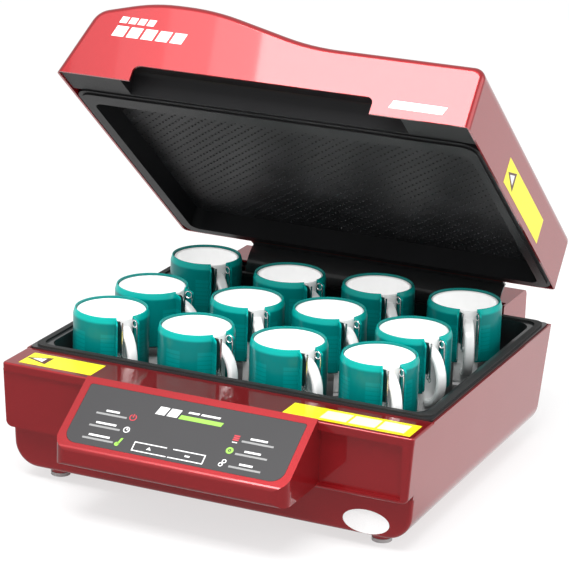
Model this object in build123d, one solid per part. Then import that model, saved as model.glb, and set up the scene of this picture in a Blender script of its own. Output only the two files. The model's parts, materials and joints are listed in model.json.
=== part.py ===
from build123d import *
from math import atan2, cos, degrees, hypot, radians, sin, tan
import os

# Vacuum heat press for mugs: a low casing with a deep heating tray, twelve mugs standing in it in
# silicone wraps, and a deep lid with a stretched membrane, hinged behind and shown open.
# Millimetres. X runs to the right, Y to the rear, Z up from the floor.

# Casing
BASE_WIDTH = 508.0          # across the top edge
BASE_TOP = 144.0            # height of the deck
BASE_BOTTOM = 15.0          # underside of the casing, on its feet
FRONT_Y = -245.0            # front of the deck
REAR_Y = 202.0              # rear of the casing at the top
SIDE_DRAFT = 3.5            # degrees that each side leans in towards the floor
REAR_DRAFT = 7.4            # degrees that the rear leans in towards the floor
WALL = 2.5                  # sheet and moulding thickness
CORNER_RADIUS = 30.0        # lower side edges
REAR_CORNER = 20.0          # lower rear edge
STEP_Z = 66.0               # top of the set-back plinth
PLINTH_SETBACK = 18.0       # plinth front behind the deck front
PLINTH_CAP = 14.0           # depth of the moulded plinth front
PAN_INSET = 49.0            # edge of the flat bottom pan inside the casing's side
FIT_GAP = 0.3               # running and assembly gap

# Deck and front shell
DECK_SKIRT = 8.0            # height of the deck's edge
DECK_DEPTH = 59.0           # red deck in front of the tray
DECK_EDGE = 2.5             # rounding of the deck's edge
RECESS_DEPTH = 8.0          # sunk panel right of the controls
RECESS_LEFT_DEPTH = 3.0     # panel left of the controls, under the lip
POST_WIDTH = 8.0            # corner post right of the sunk panel
RECESS_SILL = 4.0           # edge under the sunk panel
LIP_OVER_RECESS = 2.0

# Control housing
BEZEL_WIDTH = 284.0
BEZEL_REACH = 82.0          # stands out in front of the deck
BEZEL_TOP = 147.0           # its crest, a little over the deck
BEZEL_BOTTOM = 69.0
BEZEL_LIP = 22.0            # height of its front edge
BEZEL_CORNER = 16.0
PANEL_BORDER = 9.0          # red border round the control panel
PANEL_THICK = 2.0
PANEL_CORNER = 15.0
BOARD_BORDER = 22.0         # circuit board inside the slope's ends
PILLAR = 6.0                # width of a board's stand-offs
BOARD_THICK = 1.6
BOARD_GAP = 7.0             # panel to circuit board

# Heating tray
TRAY_FLANGE = 5.0           # thickness of the black rim
TRAY_RISE = 2.0             # rim stands this much over the deck
TRAY_SIDE = 16.0            # rim width at the sides
TRAY_FRONT = 12.0           # rim width at the front
TRAY_REAR = 13.0
TRAY_FLOOR_Z = 80.0
TRAY_WALL = 2.5
TRAY_CORNER = 22.0
GASKET_WIDTH = 7.0
GASKET_INSET = 3.0
GASKET_SINK = 2.0           # depth of the gasket's groove
PORT_Y = 60.0               # vacuum port in the tray's floor
PORT_BORE = 4.0

# Mugs and their fixtures
MUG_RADIUS = 41.0
MUG_HEIGHT = 95.0
MUG_WALL = 3.5
MUG_FLOOR = 7.0
MUG_SEAT_Z = 88.0           # underside of a mug in its cradle
HANDLE_REACH = 30.5
HANDLE_RISE = 35.0          # half the height of a handle
HANDLE_BAND = 8.0
HANDLE_WIDTH = 12.0
HANDLE_MID = 50.0           # handle centre over the mug's foot
WRAP_THICK = 3.6
WRAP_OVER_RIM = 2.5
WRAP_HEIGHT = 66.0
WRAP_GAP = 28.0             # degrees left open for the handle
FLAP_REACH = 8.0            # how far each end of a wrap turns out
FLAP_THICK = 1.9
FLAP_LOW = 6.0              # flap's outer edge, above and below
CRADLE_WALL = 2.0
CRADLE_HEIGHT = 38.0
CRADLE_CLEARANCE = 1.0
CRADLE_GAP = 40.0           # degrees open for the handle
LEDGE_REACH = 9.0           # width of the cradle's foot ring, which carries the mug
WINDOW_COUNT = 4
WINDOW_HEIGHT = 18.0
WINDOW_SILL = 9.0
CLASP_HEIGHT = 38.0
CLASP_REACH = 11.5
CLASP_THICK = 1.5
WIRE = 2.2
RING_RADIUS = 4.0
COLUMN_PITCH = 113.0        # least room for a column of mugs and their handles
ROW_PITCH = 112.0
MUG_SIDE_ROOM = 15.0        # wrap to the tray's side
MUG_FRONT_ROOM = 13.0
MUG_REAR_ROOM = 19.0
# how far each mug stands off an even grid to the right and rear, and the direction of its handle in
# degrees from the front (-Y) towards the right (+X), for the front row first and from the left
MUG_SHIFTS = (
    ((-6, 0, 50), (-8, -7, 66), (-11, 0, 55), (-17, 2, 41)),
    ((-6, -15, 82), (0, -6, 40), (-15, 5, 53), (-18, -12, 52)),
    ((-2, 6, 47), (3, -10, 62), (-2, 4, 41), (-5, 0, 27)),
)

# Lid, drawn shut and then swung open
LID_SIDE_GAP = 1.0          # lid's sides inside the casing's
LID_DEPTH = 439.0
LID_LOW = 74.0              # height of the flat right half
LID_HUMP = 104.0            # height of the raised left half
LID_SIDE_LEAN = 25.0        # the left wall leans in by this much
LID_SHOULDER = 84.0         # height where the left wall turns over
SHOULDER_BEND = 25.0        # radius there
HUMP_START = 93.0           # hump's crest, from the lid's left side
HUMP_END = 168.0
SLOPE_END = 298.0           # foot of the hump's right slope
HUMP_BEND = 200.0           # radii of the crest and of the slope's two ends
SLOPE_BEND = 300.0
ROOF_BEND = 14.0            # radius of the roof's right side
LID_EDGE = 8.0              # rounding round the roof
LID_OPEN = 39.3             # degrees from shut to the stop
PIVOT_Y = 250.0
PIVOT_Z = 136.0
LID_REAR_Y = 193.7          # rear of the shut lid
LID_LIFT = 6.6              # underside of the shut lid over the deck
NOTCH_LEFT = 95.0           # front notch, from the lid's left side
NOTCH_RIGHT = 116.0         # and from its right side
NOTCH_HEIGHT = 20.0
NOTCH_CORNER = 8.0
GRIP_INSET = 81.0           # finger trough's ends, from the lid's sides
GRIP_DEPTH = 24.0
FRONT_BAND = 45.0           # black band between the lid's front edge and the membrane frame
LINER_THICK = 2.5
LINER_SINK = 1.5
TRIM_HEIGHT = 6.0           # height over which the linings keep clear of the leaning wall
FRAME_SIDE = 15.0           # membrane frame width at sides and rear
FRAME_FRONT = 28.0
FRAME_CORNER = 20.0
FRAME_PROUD = 2.0           # the frame's lip below the lid's edge
MEMBRANE_DEPTH = 25.0
MEMBRANE_THICK = 1.5
CLAMP_THICK = 3.0
CLAMP_INSET = 11.0          # clamp bars inside the membrane frame's outline
CLAMP_OVERHANG = 1.5        # clamp bars past the frame's inner edge
REFLECTOR_INSET = 15.5      # reflector inside the membrane frame's outline
REFLECTOR_HEIGHT = 52.0     # over the lid's underside
REFLECTOR_THICK = 1.5
TUBE_COUNT = 6
TUBE_RADIUS = 4.0
TUBE_HEIGHT = 45.0
TUBE_MARGIN = 20.0          # tube end to membrane frame wall
INSULATION_THICK = 14.0
INSULATION_INSET = 22.0

# Hinge
ROD_RADIUS = 5.0
ROD_RUN = 0.05              # running gap round the hinge rod
ARM_X = 120.0
ARM_THICK = 6.0
ARM_WIDTH = 22.0
ARM_EYE = 12.0
ARM_FOOT = 4.0
ARM_FOOT_WIDTH = 40.0
ARM_FOOT_HEIGHT = 36.0
ARM_RISE = 58.0             # the arm meets the lid this far over the rod
EAR_THICK = 3.0
EAR_GAP = 1.0
COWL_RADIUS = 44.0
COWL_LEFT_ROOM = 32.0       # cowl's ends inside the housing's
COWL_RIGHT_ROOM = 10.0
COWL_LOW = -49.0            # degrees below level, seen from the rod, with the lid shut
COWL_TOP = 17.0             # height of the cowl's bend over the rod
COWL_FLANGE = 10.0          # height of its flange on the lid
HOUSING_INSET = 62.0        # housing's ends inside the casing's sides
HOUSING_REAR_Y = 286.0
HOUSING_LOW = 84.0
HOUSING_TOP = 156.0
HOUSING_FRONT_GAP = 1.0
ROOF_FRONT_Y = 217.0
SLOT_HALF = 6.0
SLOT_REAR_Y = 262.0
CARTRIDGE_RADIUS = 11.0
CARTRIDGE_LENGTH = 70.0
EAR_FOOT = 16.0             # half widths of an ear at its foot and top
EAR_TOP = 11.0
EAR_CORNER = 8.0

# Feet
FOOT_INSET = 51.0           # foot's middle inside the casing's side
FOOT_FRONT_Y = -196.0
FOOT_REAR_Y = 146.0
FOOT_RADIUS = 10.5
PAD_HEIGHT = 4.0
PAD_RADIUS = 11.5

# Rear panel fittings
FAN_INSET = 126.0           # fan's middle from the casing's right side
FAN_Z = 55.5
FAN_SIZE = 40.0
FAN_DEPTH = 12.0
FAN_BORE = 18.0
HUB_RADIUS = 8.0
BLADE_COUNT = 7
BLADE_PITCH = 32.0
AXLE_RADIUS = 1.5
AXLE_RUN = 0.05
GRILLE_THICK = 1.5
INLET_INSET = 94.0          # inlet's middle from the casing's left side
INLET_WIDTH = 48.0
INLET_HEIGHT = 28.0
INLET_DEPTH = 26.0
SWITCH_PITCH = 60.0         # inlet to switch
SWITCH_WIDTH = 30.0
SWITCH_HEIGHT = 22.0
SWITCH_DEPTH = 20.0
FUSE_PITCH = 40.0           # switch to fuse
FUSE_RADIUS = 7.0
FITTING_Z = 54.0
VENT_COUNT = 7
VENT_PITCH = 7.0
VENT_LENGTH = 62.0
VENT_WIDTH = 3.0
VENT_X = 20.0

# Inside the casing
PUMP_RADIUS = 20.0
PUMP_LENGTH = 80.0
PUMP_HEAD = 36.0            # length of the pump's head, under the tray's port
PUMP_HEAD_HALF = 18.0
PUMP_LIFT = 4.0             # motor over the casing's floor
PUMP_FOOT_HALF = 16.0
PUMP_FOOT_LENGTH = 60.0
HOSE_RADIUS = 5.5
POWER_LONG = 130.0          # power board
POWER_WIDE = 80.0
POWER_THICK = 2.0
POWER_LIFT = 8.0
POWER_X = 85.0
POWER_FRONT_ROOM = 32.0     # board behind the plinth
RELAY_SIZE = 38.0
RELAY_HEIGHT = 26.0
RELAY_SHIFT = 25.0
COIL_THICK = 10.0
COIL_HALF = 22.0
COIL_HEIGHT = 30.0
COIL_SHIFT = 20.0
SUPPORT_INSET = 63.0        # tray supports inside the tray's sides
SUPPORT_END = 36.0          # and inside its front and rear
SUPPORT_SIZE = 16.0
PROBE_X = 60.0
PROBE_RADIUS = 2.5

HALF = BASE_WIDTH / 2
PLINTH_Y = FRONT_Y + PLINTH_SETBACK
DECK_LOW = BASE_TOP - DECK_SKIRT
DECK_REAR_Y = FRONT_Y + DECK_DEPTH
LID_Z = BASE_TOP + LID_LIFT
LID_FRONT_Y = LID_REAR_Y - LID_DEPTH
LID_HALF = HALF - LID_SIDE_GAP
HOUSING_HALF = HALF - HOUSING_INSET
PIVOT = Axis((0, PIVOT_Y, PIVOT_Z), (1, 0, 0))
FAR = 2000.0


def outline(*corners):
    """A closed flat face through corners, each (x, y) or (x, y, radius)."""
    edges, ends = [], []
    for i, corner in enumerate(corners):
        here = Vector(corner[0], corner[1])
        radius = corner[2] if len(corner) > 2 else 0
        before = (Vector(*corners[i - 1][:2]) - here).normalized()
        after = (Vector(*corners[(i + 1) % len(corners)][:2]) - here).normalized()
        if not radius:
            ends.append((here, here))
            continue
        half = radians(before.get_angle(after)) / 2
        run = radius / tan(half)
        middle = (before + after).normalized()
        inner = here + middle * (radius / sin(half) - radius)
        ends.append((here + before * run, here + after * run))
        edges.append(ThreePointArc(ends[-1][0], inner, ends[-1][1]))
    for i, (start, _) in enumerate(ends):
        leave = ends[i - 1][1]
        if (start - leave).length > 1e-6:
            edges.append(Line(leave, start))
    return make_face(edges)


def rectangle(x0, y0, x1, y1, radius=0.0):
    return outline((x0, y0, radius), (x1, y0, radius), (x1, y1, radius), (x0, y1, radius))


def along_x(face, x0, x1):
    """A face drawn in Y and Z, made solid from x0 to x1."""
    return extrude(Plane.YZ.offset(x0) * face, x1 - x0)


def along_y(face, y0, y1):
    """A face drawn in X and Z, made solid from y0 to y1."""
    return extrude(Plane.XZ.offset(-y1) * face, y1 - y0)


def along_z(face, z0, z1):
    return extrude(Plane.XY.offset(z0) * face, z1 - z0)


def block(x0, y0, z0, x1, y1, z1):
    return Pos((x0 + x1) / 2, (y0 + y1) / 2, (z0 + z1) / 2) * Box(x1 - x0, y1 - y0, z1 - z0)


def group(*solids):
    """Separate solids kept side by side in one node."""
    return Compound([s for shape in solids for s in shape.solids()])


def swung_open(shape):
    return shape.rotate(PIVOT, -LID_OPEN)


# ---------------------------------------------------------------- casing

def half_width(z, inset=0.0):
    return HALF - (BASE_TOP - z) * tan(radians(SIDE_DRAFT)) - inset


def rear_y(z, inset=0.0):
    return REAR_Y - (BASE_TOP - z) * tan(radians(REAR_DRAFT)) - inset


def front_view(low, high, radius, inset=0.0):
    """The casing's tapered outline between two heights, with rounded lower corners."""
    w0, w1 = half_width(low, inset), half_width(high, inset)
    return outline((-w0, low, radius), (w0, low, radius), (w1, high), (-w1, high))


def side_view(inset=0.0):
    low = BASE_BOTTOM + inset
    return outline(
        (PLINTH_Y + PLINTH_CAP, low), (rear_y(low, inset), low, REAR_CORNER - inset),
        (rear_y(BASE_TOP, inset), BASE_TOP), (DECK_REAR_Y, BASE_TOP), (DECK_REAR_Y, DECK_LOW),
        (PLINTH_Y, DECK_LOW), (PLINTH_Y, STEP_Z),
        (PLINTH_Y + PLINTH_CAP, STEP_Z),
    )


def casing_wrap():
    """Both sides and the floor of the casing as one bent sheet."""
    outer = front_view(BASE_BOTTOM, BASE_TOP, CORNER_RADIUS)
    inner = front_view(BASE_BOTTOM + WALL, BASE_TOP, CORNER_RADIUS - WALL, WALL)
    wrap = along_y(outer, PLINTH_Y, REAR_Y) - along_y(inner, PLINTH_Y, REAR_Y)
    return wrap & along_x(side_view(), -HALF, HALF)


def side_panels():
    wrap = casing_wrap()
    edge = HALF - PAN_INSET
    right = wrap & block(edge, -FAR, 0, FAR, FAR, FAR)
    left = wrap & block(-FAR, -FAR, 0, -edge, FAR, FAR)
    pan = wrap & block(-edge, -FAR, 0, edge, FAR, BASE_TOP)
    return left, right, pan


def rear_plane(x, z, inset=0.0):
    """A plane on the leaning rear panel, facing out and down."""
    lean = radians(REAR_DRAFT)
    origin = (x, rear_y(z, inset), z)
    return Plane(origin, x_dir=(-1, 0, 0), z_dir=(0, cos(lean), -sin(lean)))


def rear_cut(x, z, face, deep=2 * WALL):
    return extrude(rear_plane(x, z) * face, amount=deep, both=True)


INLET_X = INLET_INSET - HALF
SWITCH_X = INLET_X + SWITCH_PITCH
FUSE_X = SWITCH_X + FUSE_PITCH
FAN_X = HALF - FAN_INSET


def rear_panel():
    ring = along_x(side_view(), -HALF, HALF) - along_x(side_view(WALL), -HALF, HALF)
    inner = front_view(BASE_BOTTOM + WALL, BASE_TOP, CORNER_RADIUS - WALL, WALL)
    panel = ring & along_y(inner, rear_y(BASE_BOTTOM) - REAR_CORNER, REAR_Y)
    panel -= rear_cut(FAN_X, FAN_Z, Circle(FAN_BORE))
    panel -= rear_cut(INLET_X, FITTING_Z, Rectangle(INLET_WIDTH - 2, INLET_HEIGHT - 2))
    panel -= rear_cut(SWITCH_X, FITTING_Z, Rectangle(SWITCH_WIDTH - 2, SWITCH_HEIGHT - 2))
    panel -= rear_cut(FUSE_X, FITTING_Z, Circle(FUSE_RADIUS))
    for i in range(VENT_COUNT):
        slot = Pos(0, (i - (VENT_COUNT - 1) / 2) * VENT_PITCH) * SlotOverall(VENT_LENGTH, VENT_WIDTH)
        panel -= rear_cut(VENT_X, FITTING_Z, slot)
    return panel


def plinth_front():
    """The set-back lower front, a shallow moulding with round lower corners."""
    end = PLINTH_Y + PLINTH_CAP
    outer = along_y(front_view(BASE_BOTTOM, STEP_Z, CORNER_RADIUS), PLINTH_Y, end)
    front = outer.faces().sort_by(Axis.Y)[0]
    rim = front.edges().filter_by(lambda e: e.center().Z < STEP_Z - 1)
    outer = fillet(rim, 5)
    inner = front_view(BASE_BOTTOM + WALL, STEP_Z, CORNER_RADIUS - WALL, WALL)
    return outer - along_y(inner, PLINTH_Y + 2 * WALL, end)


def front_shell():
    """The upper front, with a sunk panel on the right and a lower one on the left."""
    back = FRONT_Y + RECESS_DEPTH + WALL
    shell = along_y(front_view(STEP_Z, DECK_LOW, 8), FRONT_Y, PLINTH_Y)
    posts = shell.faces().sort_by(Axis.Y)[0].edges().filter_by(lambda e: abs(e.tangent_at(0.5).Z) > 0.5)
    shell = fillet(posts, 4)
    shell -= along_y(front_view(STEP_Z + WALL, DECK_LOW - WALL, 6, WALL), back, PLINTH_Y)
    edge = BEZEL_WIDTH / 2
    right = half_width(STEP_Z) - POST_WIDTH
    top = DECK_LOW - LIP_OVER_RECESS
    shell -= along_y(
        rectangle(edge, STEP_Z + RECESS_SILL, right, top, 2), FRONT_Y, FRONT_Y + RECESS_DEPTH
    )
    shell -= block(-FAR, FRONT_Y - 1, 0, -edge, FRONT_Y + RECESS_LEFT_DEPTH, top)
    window = edge - 14
    return shell - along_y(
        rectangle(-window, BEZEL_BOTTOM + 8, window, top - 8, 4), FRONT_Y, PLINTH_Y
    )


def top_deck():
    """The red deck in front of the tray, turned down at its front and sides."""
    deck = along_y(front_view(DECK_LOW, BASE_TOP, 0), FRONT_Y, DECK_REAR_Y)
    front = deck.faces().sort_by(Axis.Y)[0]
    deck = fillet(front.edges().filter_by(lambda e: abs(e.tangent_at(0.5).Z) > 0.5), 5)
    top = deck.faces().sort_by(Axis.Z)[-1]
    rim = top.edges().filter_by(lambda e: e.center().Y < DECK_REAR_Y - 1)
    deck = fillet(rim, DECK_EDGE)
    side = half_width(DECK_LOW, WALL)
    return deck - block(-side, FRONT_Y + WALL, 0, side, FAR, BASE_TOP - WALL)


# ---------------------------------------------------------------- control housing

def bezel_view(inset=0.0):
    """Side outline of the wedge that carries the control panel."""
    nose = FRONT_Y - BEZEL_REACH + inset
    lip = BEZEL_BOTTOM + BEZEL_LIP
    slope = (BEZEL_TOP - lip) / BEZEL_REACH
    drop = inset * hypot(1, slope)
    back = FRONT_Y
    return outline(
        (back, BEZEL_BOTTOM + inset), (nose, BEZEL_BOTTOM + inset, max(6 - inset, 0)),
        (nose, lip + slope * inset - drop, max(7 - inset, 0)), (back, BEZEL_TOP - drop),
    )


def slope_plane():
    """A plane on the sloping face, centred, with its own y running up the slope."""
    lip = BEZEL_BOTTOM + BEZEL_LIP
    rise = Vector(0, BEZEL_REACH, BEZEL_TOP - lip)
    middle = Vector(0, FRONT_Y - BEZEL_REACH / 2, (BEZEL_TOP + lip) / 2)
    return Plane(middle, x_dir=(1, 0, 0), z_dir=Vector(1, 0, 0).cross(rise))


SLOPE_LENGTH = hypot(BEZEL_REACH, BEZEL_TOP - BEZEL_BOTTOM - BEZEL_LIP)


def panel_face(gap=0.0):
    """Outline of the control panel: square above, well rounded below."""
    w = BEZEL_WIDTH / 2 - PANEL_BORDER - gap
    h = SLOPE_LENGTH / 2 - PANEL_BORDER - gap
    return outline((-w, -h, PANEL_CORNER), (w, -h, PANEL_CORNER), (w, h, 3), (-w, h, 3))


def control_bezel():
    w = BEZEL_WIDTH / 2
    bezel = along_x(bezel_view(), -w, w)
    plan = outline(
        (-w, FRONT_Y), (-w, FRONT_Y - BEZEL_REACH, BEZEL_CORNER),
        (w, FRONT_Y - BEZEL_REACH, BEZEL_CORNER), (w, FRONT_Y),
    )
    bezel &= along_z(plan, BEZEL_BOTTOM, BEZEL_TOP)
    bezel -= along_x(bezel_view(3 * WALL), -w + 3 * WALL, w - 3 * WALL)
    return bezel - extrude(slope_plane() * panel_face(), -4 * WALL)


def control_face():
    return extrude(slope_plane() * panel_face(FIT_GAP), -PANEL_THICK)


def control_board():
    plane = slope_plane().offset(-PANEL_THICK - BOARD_GAP)
    w, h = BEZEL_WIDTH / 2 - 4 * WALL - PANEL_BORDER, SLOPE_LENGTH / 2 - BOARD_BORDER
    board = extrude(plane * Rectangle(2 * w, 2 * h), -BOARD_THICK)
    for x in (-w + PILLAR, w - PILLAR):
        board += extrude(plane * Pos(x, 0) * Circle(PILLAR / 2), BOARD_GAP)
    return board


# ---------------------------------------------------------------- tray

TRAY_TOP = BASE_TOP + TRAY_RISE
FLANGE_HALF = half_width(TRAY_TOP - TRAY_FLANGE, WALL + FIT_GAP)
FLANGE_FRONT = DECK_REAR_Y + FIT_GAP
FLANGE_REAR = rear_y(TRAY_TOP - TRAY_FLANGE, WALL + FIT_GAP)
TUB_HALF = FLANGE_HALF - TRAY_SIDE
TUB_FRONT = FLANGE_FRONT + TRAY_FRONT
TUB_REAR = FLANGE_REAR - TRAY_REAR


def tub(grow=0.0):
    radius = TRAY_CORNER + grow
    return rectangle(-TUB_HALF - grow, TUB_FRONT - grow, TUB_HALF + grow, TUB_REAR + grow, radius)


def gasket_face(inset):
    """A rounded rectangle that runs along the middle of the tray's rim."""
    x = FLANGE_HALF - inset
    return rectangle(-x, FLANGE_FRONT + inset, x, FLANGE_REAR - inset, 14)


def gasket_ring(low, high):
    outer = along_z(gasket_face(GASKET_INSET), low, high)
    return outer - along_z(gasket_face(GASKET_INSET + GASKET_WIDTH), low, high)


def chamber_tray():
    rim = rectangle(-FLANGE_HALF, FLANGE_FRONT, FLANGE_HALF, FLANGE_REAR, 6)
    flange = along_z(rim, TRAY_TOP - TRAY_FLANGE, TRAY_TOP)
    tray = flange + along_z(tub(TRAY_WALL), TRAY_FLOOR_Z - TRAY_WALL, TRAY_TOP - TRAY_FLANGE)
    tray -= along_z(tub(), TRAY_FLOOR_Z, TRAY_TOP)
    tray -= gasket_ring(TRAY_TOP - GASKET_SINK, TRAY_TOP)
    port = Pos(0, PORT_Y, TRAY_FLOOR_Z - TRAY_WALL) * Cylinder(PORT_BORE, 3 * TRAY_WALL)
    return tray - port


def tray_gasket():
    return gasket_ring(TRAY_TOP - GASKET_SINK, LID_Z - FRAME_PROUD - FIT_GAP)


def tray_supports():
    """Four bent sheet posts under the tray, each a C seen from the front."""
    low, top = BASE_BOTTOM + WALL, TRAY_FLOOR_Z - TRAY_WALL
    size, half = SUPPORT_SIZE, SUPPORT_SIZE / 2
    posts = []
    side = TUB_HALF - SUPPORT_INSET
    for x in (-side, side):
        for y in (TUB_FRONT + SUPPORT_END, TUB_REAR - SUPPORT_END):
            post = block(x - half, y - half, low, x + half, y + half, top)
            post -= block(x - half + WALL, y - size, low + WALL, x + size, y + size, top - WALL)
            posts.append(post)
    return group(*posts)


# ---------------------------------------------------------------- mugs and fixtures

WRAP_TOP = MUG_SEAT_Z + MUG_HEIGHT + WRAP_OVER_RIM
WRAP_LOW = WRAP_TOP - WRAP_HEIGHT
WRAP_INNER = MUG_RADIUS + FIT_GAP
WRAP_OUTER = WRAP_INNER + WRAP_THICK


def spread(low, high, low_room, high_room, pitch):
    """Even places for mugs between two walls of the tray, as many as fit at a pitch."""
    first, last = low + low_room + WRAP_OUTER, high - high_room - WRAP_OUTER
    gaps = max(2, int((high - low) // pitch)) - 1
    return [first + (last - first) * i / gaps for i in range(gaps + 1)]


def mug_places():
    """Where the mugs stand and how their handles are turned: x, y and degrees."""
    rows = spread(TUB_FRONT, TUB_REAR, MUG_FRONT_ROOM, MUG_REAR_ROOM, ROW_PITCH)
    columns = spread(-TUB_HALF, TUB_HALF, MUG_SIDE_ROOM, MUG_SIDE_ROOM, COLUMN_PITCH)
    places = []
    for row, y in enumerate(rows):
        shifts = MUG_SHIFTS[row % len(MUG_SHIFTS)]
        for column, x in enumerate(columns):
            right, back, turn = shifts[column % len(shifts)]
            places.append((x + right, y + back, turn))
    return places


def at_mugs(shape):
    """A copy of a shape, drawn with the handle towards +X, at each mug's place."""
    return group(*[Pos(x, y) * Rot(0, 0, turn - 90) * shape for x, y, turn in mug_places()])


def mug():
    inner = MUG_RADIUS - MUG_WALL
    body = revolve(Plane.XZ * outline(
        (0, 0), (MUG_RADIUS - 4, 0), (MUG_RADIUS, 5), (MUG_RADIUS, MUG_HEIGHT),
        (inner, MUG_HEIGHT), (inner, MUG_FLOOR), (0, MUG_FLOOR),
    ), Axis.Z)
    reach, rise = HANDLE_REACH, HANDLE_RISE
    handle = Ellipse(reach, rise) - Ellipse(reach - HANDLE_BAND, rise - HANDLE_BAND)
    handle &= Pos(reach, 0) * Rectangle(2 * reach, 2 * rise + 1)
    root = MUG_RADIUS - MUG_WALL / 2
    band = extrude(Plane.XZ * Pos(root, HANDLE_MID) * handle, HANDLE_WIDTH / 2, both=True)
    return Pos(0, 0, MUG_SEAT_Z) * (body + band)


def sector(radius, degrees_open):
    """A wedge from the centre past a radius, about +X."""
    half = radians(degrees_open / 2)
    reach = 2 * radius
    return outline((0, 0), (reach * cos(half), -reach * sin(half)), (reach * cos(half), reach * sin(half)))


def mug_wrap():
    """A silicone band, open at the handle, with both ends turned out."""
    wrap = along_z(Circle(WRAP_OUTER) - Circle(WRAP_INNER) - sector(WRAP_OUTER, WRAP_GAP), WRAP_LOW, WRAP_TOP)
    inside, edge = WRAP_INNER + 1, WRAP_OUTER + FLAP_REACH
    flap = outline(
        (inside, WRAP_LOW + 1), (edge, WRAP_LOW + FLAP_LOW, 4), (edge, WRAP_TOP - FLAP_LOW, 4),
        (inside, WRAP_TOP - 1),
    )
    for side in (-1, 1):
        start = min(0, side * FLAP_THICK)
        wrap += Rot(0, 0, side * WRAP_GAP / 2) * along_y(flap, start, start + FLAP_THICK)
    return wrap


def clasp_plate():
    """The steel plate that lies against one end of the wrap."""
    start = WRAP_INNER + 0.5
    plate = block(start, 0, WRAP_TOP - 4 - CLASP_HEIGHT, start + CLASP_REACH, CLASP_THICK, WRAP_TOP - 4)
    return Rot(0, 0, -WRAP_GAP / 2) * plate


def clasp_wires():
    """The plate's hinge rod, and the wire with its ring at the wrap's other end."""
    x = WRAP_INNER + 0.5 + CLASP_REACH
    low, high = WRAP_TOP - 4 - CLASP_HEIGHT, WRAP_TOP - 4
    rod = Rot(0, 0, -WRAP_GAP / 2) * block(x, -0.4, low - 3, x + WIRE, WIRE - 0.4, high + 2)
    eye = RegularPolygon(RING_RADIUS, 8) - RegularPolygon(RING_RADIUS - 1.4, 8)
    middle = WRAP_OUTER + RING_RADIUS - 2
    ring = extrude(Plane.XZ * Pos(middle, high - RING_RADIUS) * eye, CLASP_THICK)
    tail = block(middle - 0.8, -CLASP_THICK, low, middle + 0.8, 0, high - 2 * RING_RADIUS + 0.8)
    return group(rod, Rot(0, 0, WRAP_GAP / 2) * (ring + tail))


def mug_cradle():
    """An open steel ring with windows and a foot ring, which holds a mug off the tray floor."""
    inner = MUG_RADIUS + CRADLE_CLEARANCE
    outer = inner + CRADLE_WALL
    high = TRAY_FLOOR_Z + CRADLE_HEIGHT
    cradle = revolve(Plane.XZ * outline(
        (inner - LEDGE_REACH, TRAY_FLOOR_Z), (outer, TRAY_FLOOR_Z), (outer, high), (inner, high),
        (inner, MUG_SEAT_Z), (inner - LEDGE_REACH, MUG_SEAT_Z),
    ), Axis.Z)
    cradle -= along_z(sector(outer, CRADLE_GAP), TRAY_FLOOR_Z, high)
    step = (360 - CRADLE_GAP) / WINDOW_COUNT
    for i in range(WINDOW_COUNT):
        turn = CRADLE_GAP / 2 + (i + 0.5) * step
        window = Rot(0, 0, turn) * sector(outer, 0.6 * step)
        cradle -= along_z(window, high - WINDOW_SILL - WINDOW_HEIGHT, high - WINDOW_SILL)
    return cradle


# ---------------------------------------------------------------- lid, drawn shut

def lid_view(inset=0.0):
    """Front outline of the lid: a hump on the left that runs down to a flat right half."""
    w, z = LID_HALF - inset, LID_Z - (1 if inset else 0)
    lean = LID_SIDE_LEAN * (1 + (1 if inset else 0) / LID_SHOULDER)
    top = LID_Z - inset
    return outline(
        (-w, z), (w, z), (w, top + LID_LOW, ROOF_BEND - inset),
        (SLOPE_END - LID_HALF, top + LID_LOW, SLOPE_BEND),
        (HUMP_END - LID_HALF, top + LID_HUMP, SLOPE_BEND - inset),
        (HUMP_START - LID_HALF, top + LID_HUMP, HUMP_BEND - inset),
        (-w + lean, top + LID_SHOULDER, SHOULDER_BEND - inset),
    )


def lid_shell():
    outer = along_y(lid_view(), LID_FRONT_Y, LID_REAR_Y)
    for end in (0, -1):
        face = outer.faces().sort_by(Axis.Y)[end]
        roof = face.edges().filter_by(lambda e: e.center().Z > LID_Z + LID_SHOULDER / 2 + 12)
        outer = fillet(roof, LID_EDGE)
    outer -= along_y(lid_view(WALL), LID_FRONT_Y + WALL, LID_REAR_Y - WALL)
    left, right, corner = NOTCH_LEFT - LID_HALF, LID_HALF - NOTCH_RIGHT, NOTCH_CORNER
    notch = outline(
        (left, LID_Z - 1), (right, LID_Z - 1),
        (right, LID_Z + NOTCH_HEIGHT, corner), (left, LID_Z + NOTCH_HEIGHT, corner),
    )
    return outer - along_y(notch, LID_FRONT_Y - 1, LID_FRONT_Y + WALL + 1)


LINER_LOW = LID_Z + LINER_SINK
LINER_HALF = LID_HALF - WALL
LEFT_TRIM = LID_SIDE_LEAN / LID_SHOULDER * TRIM_HEIGHT
GRIP_HALF = LID_HALF - GRIP_INSET
BAND_REAR_Y = LID_FRONT_Y + FRONT_BAND


def lid_liner():
    """The black band behind the lid's front edge, with its finger trough."""
    front, rear = LID_FRONT_Y + WALL, BAND_REAR_Y
    top = LINER_LOW + GRIP_DEPTH + LINER_THICK
    band = block(-LINER_HALF + LEFT_TRIM, front, LINER_LOW, LINER_HALF, rear, LINER_LOW + LINER_THICK)
    box = block(-GRIP_HALF - WALL, front, LINER_LOW, GRIP_HALF + WALL, rear, top)
    trough = outline(
        (front, LINER_LOW), (rear - 4, LINER_LOW), (rear - 14, top - LINER_THICK, 6),
        (front, top - LINER_THICK),
    )
    return band + box - along_x(trough, -GRIP_HALF, GRIP_HALF)


FRAME_HALF = LINER_HALF - FIT_GAP
FRAME_REAR_Y = LID_REAR_Y - WALL - FIT_GAP
MEMBRANE_Z = LID_Z + MEMBRANE_DEPTH


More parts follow.
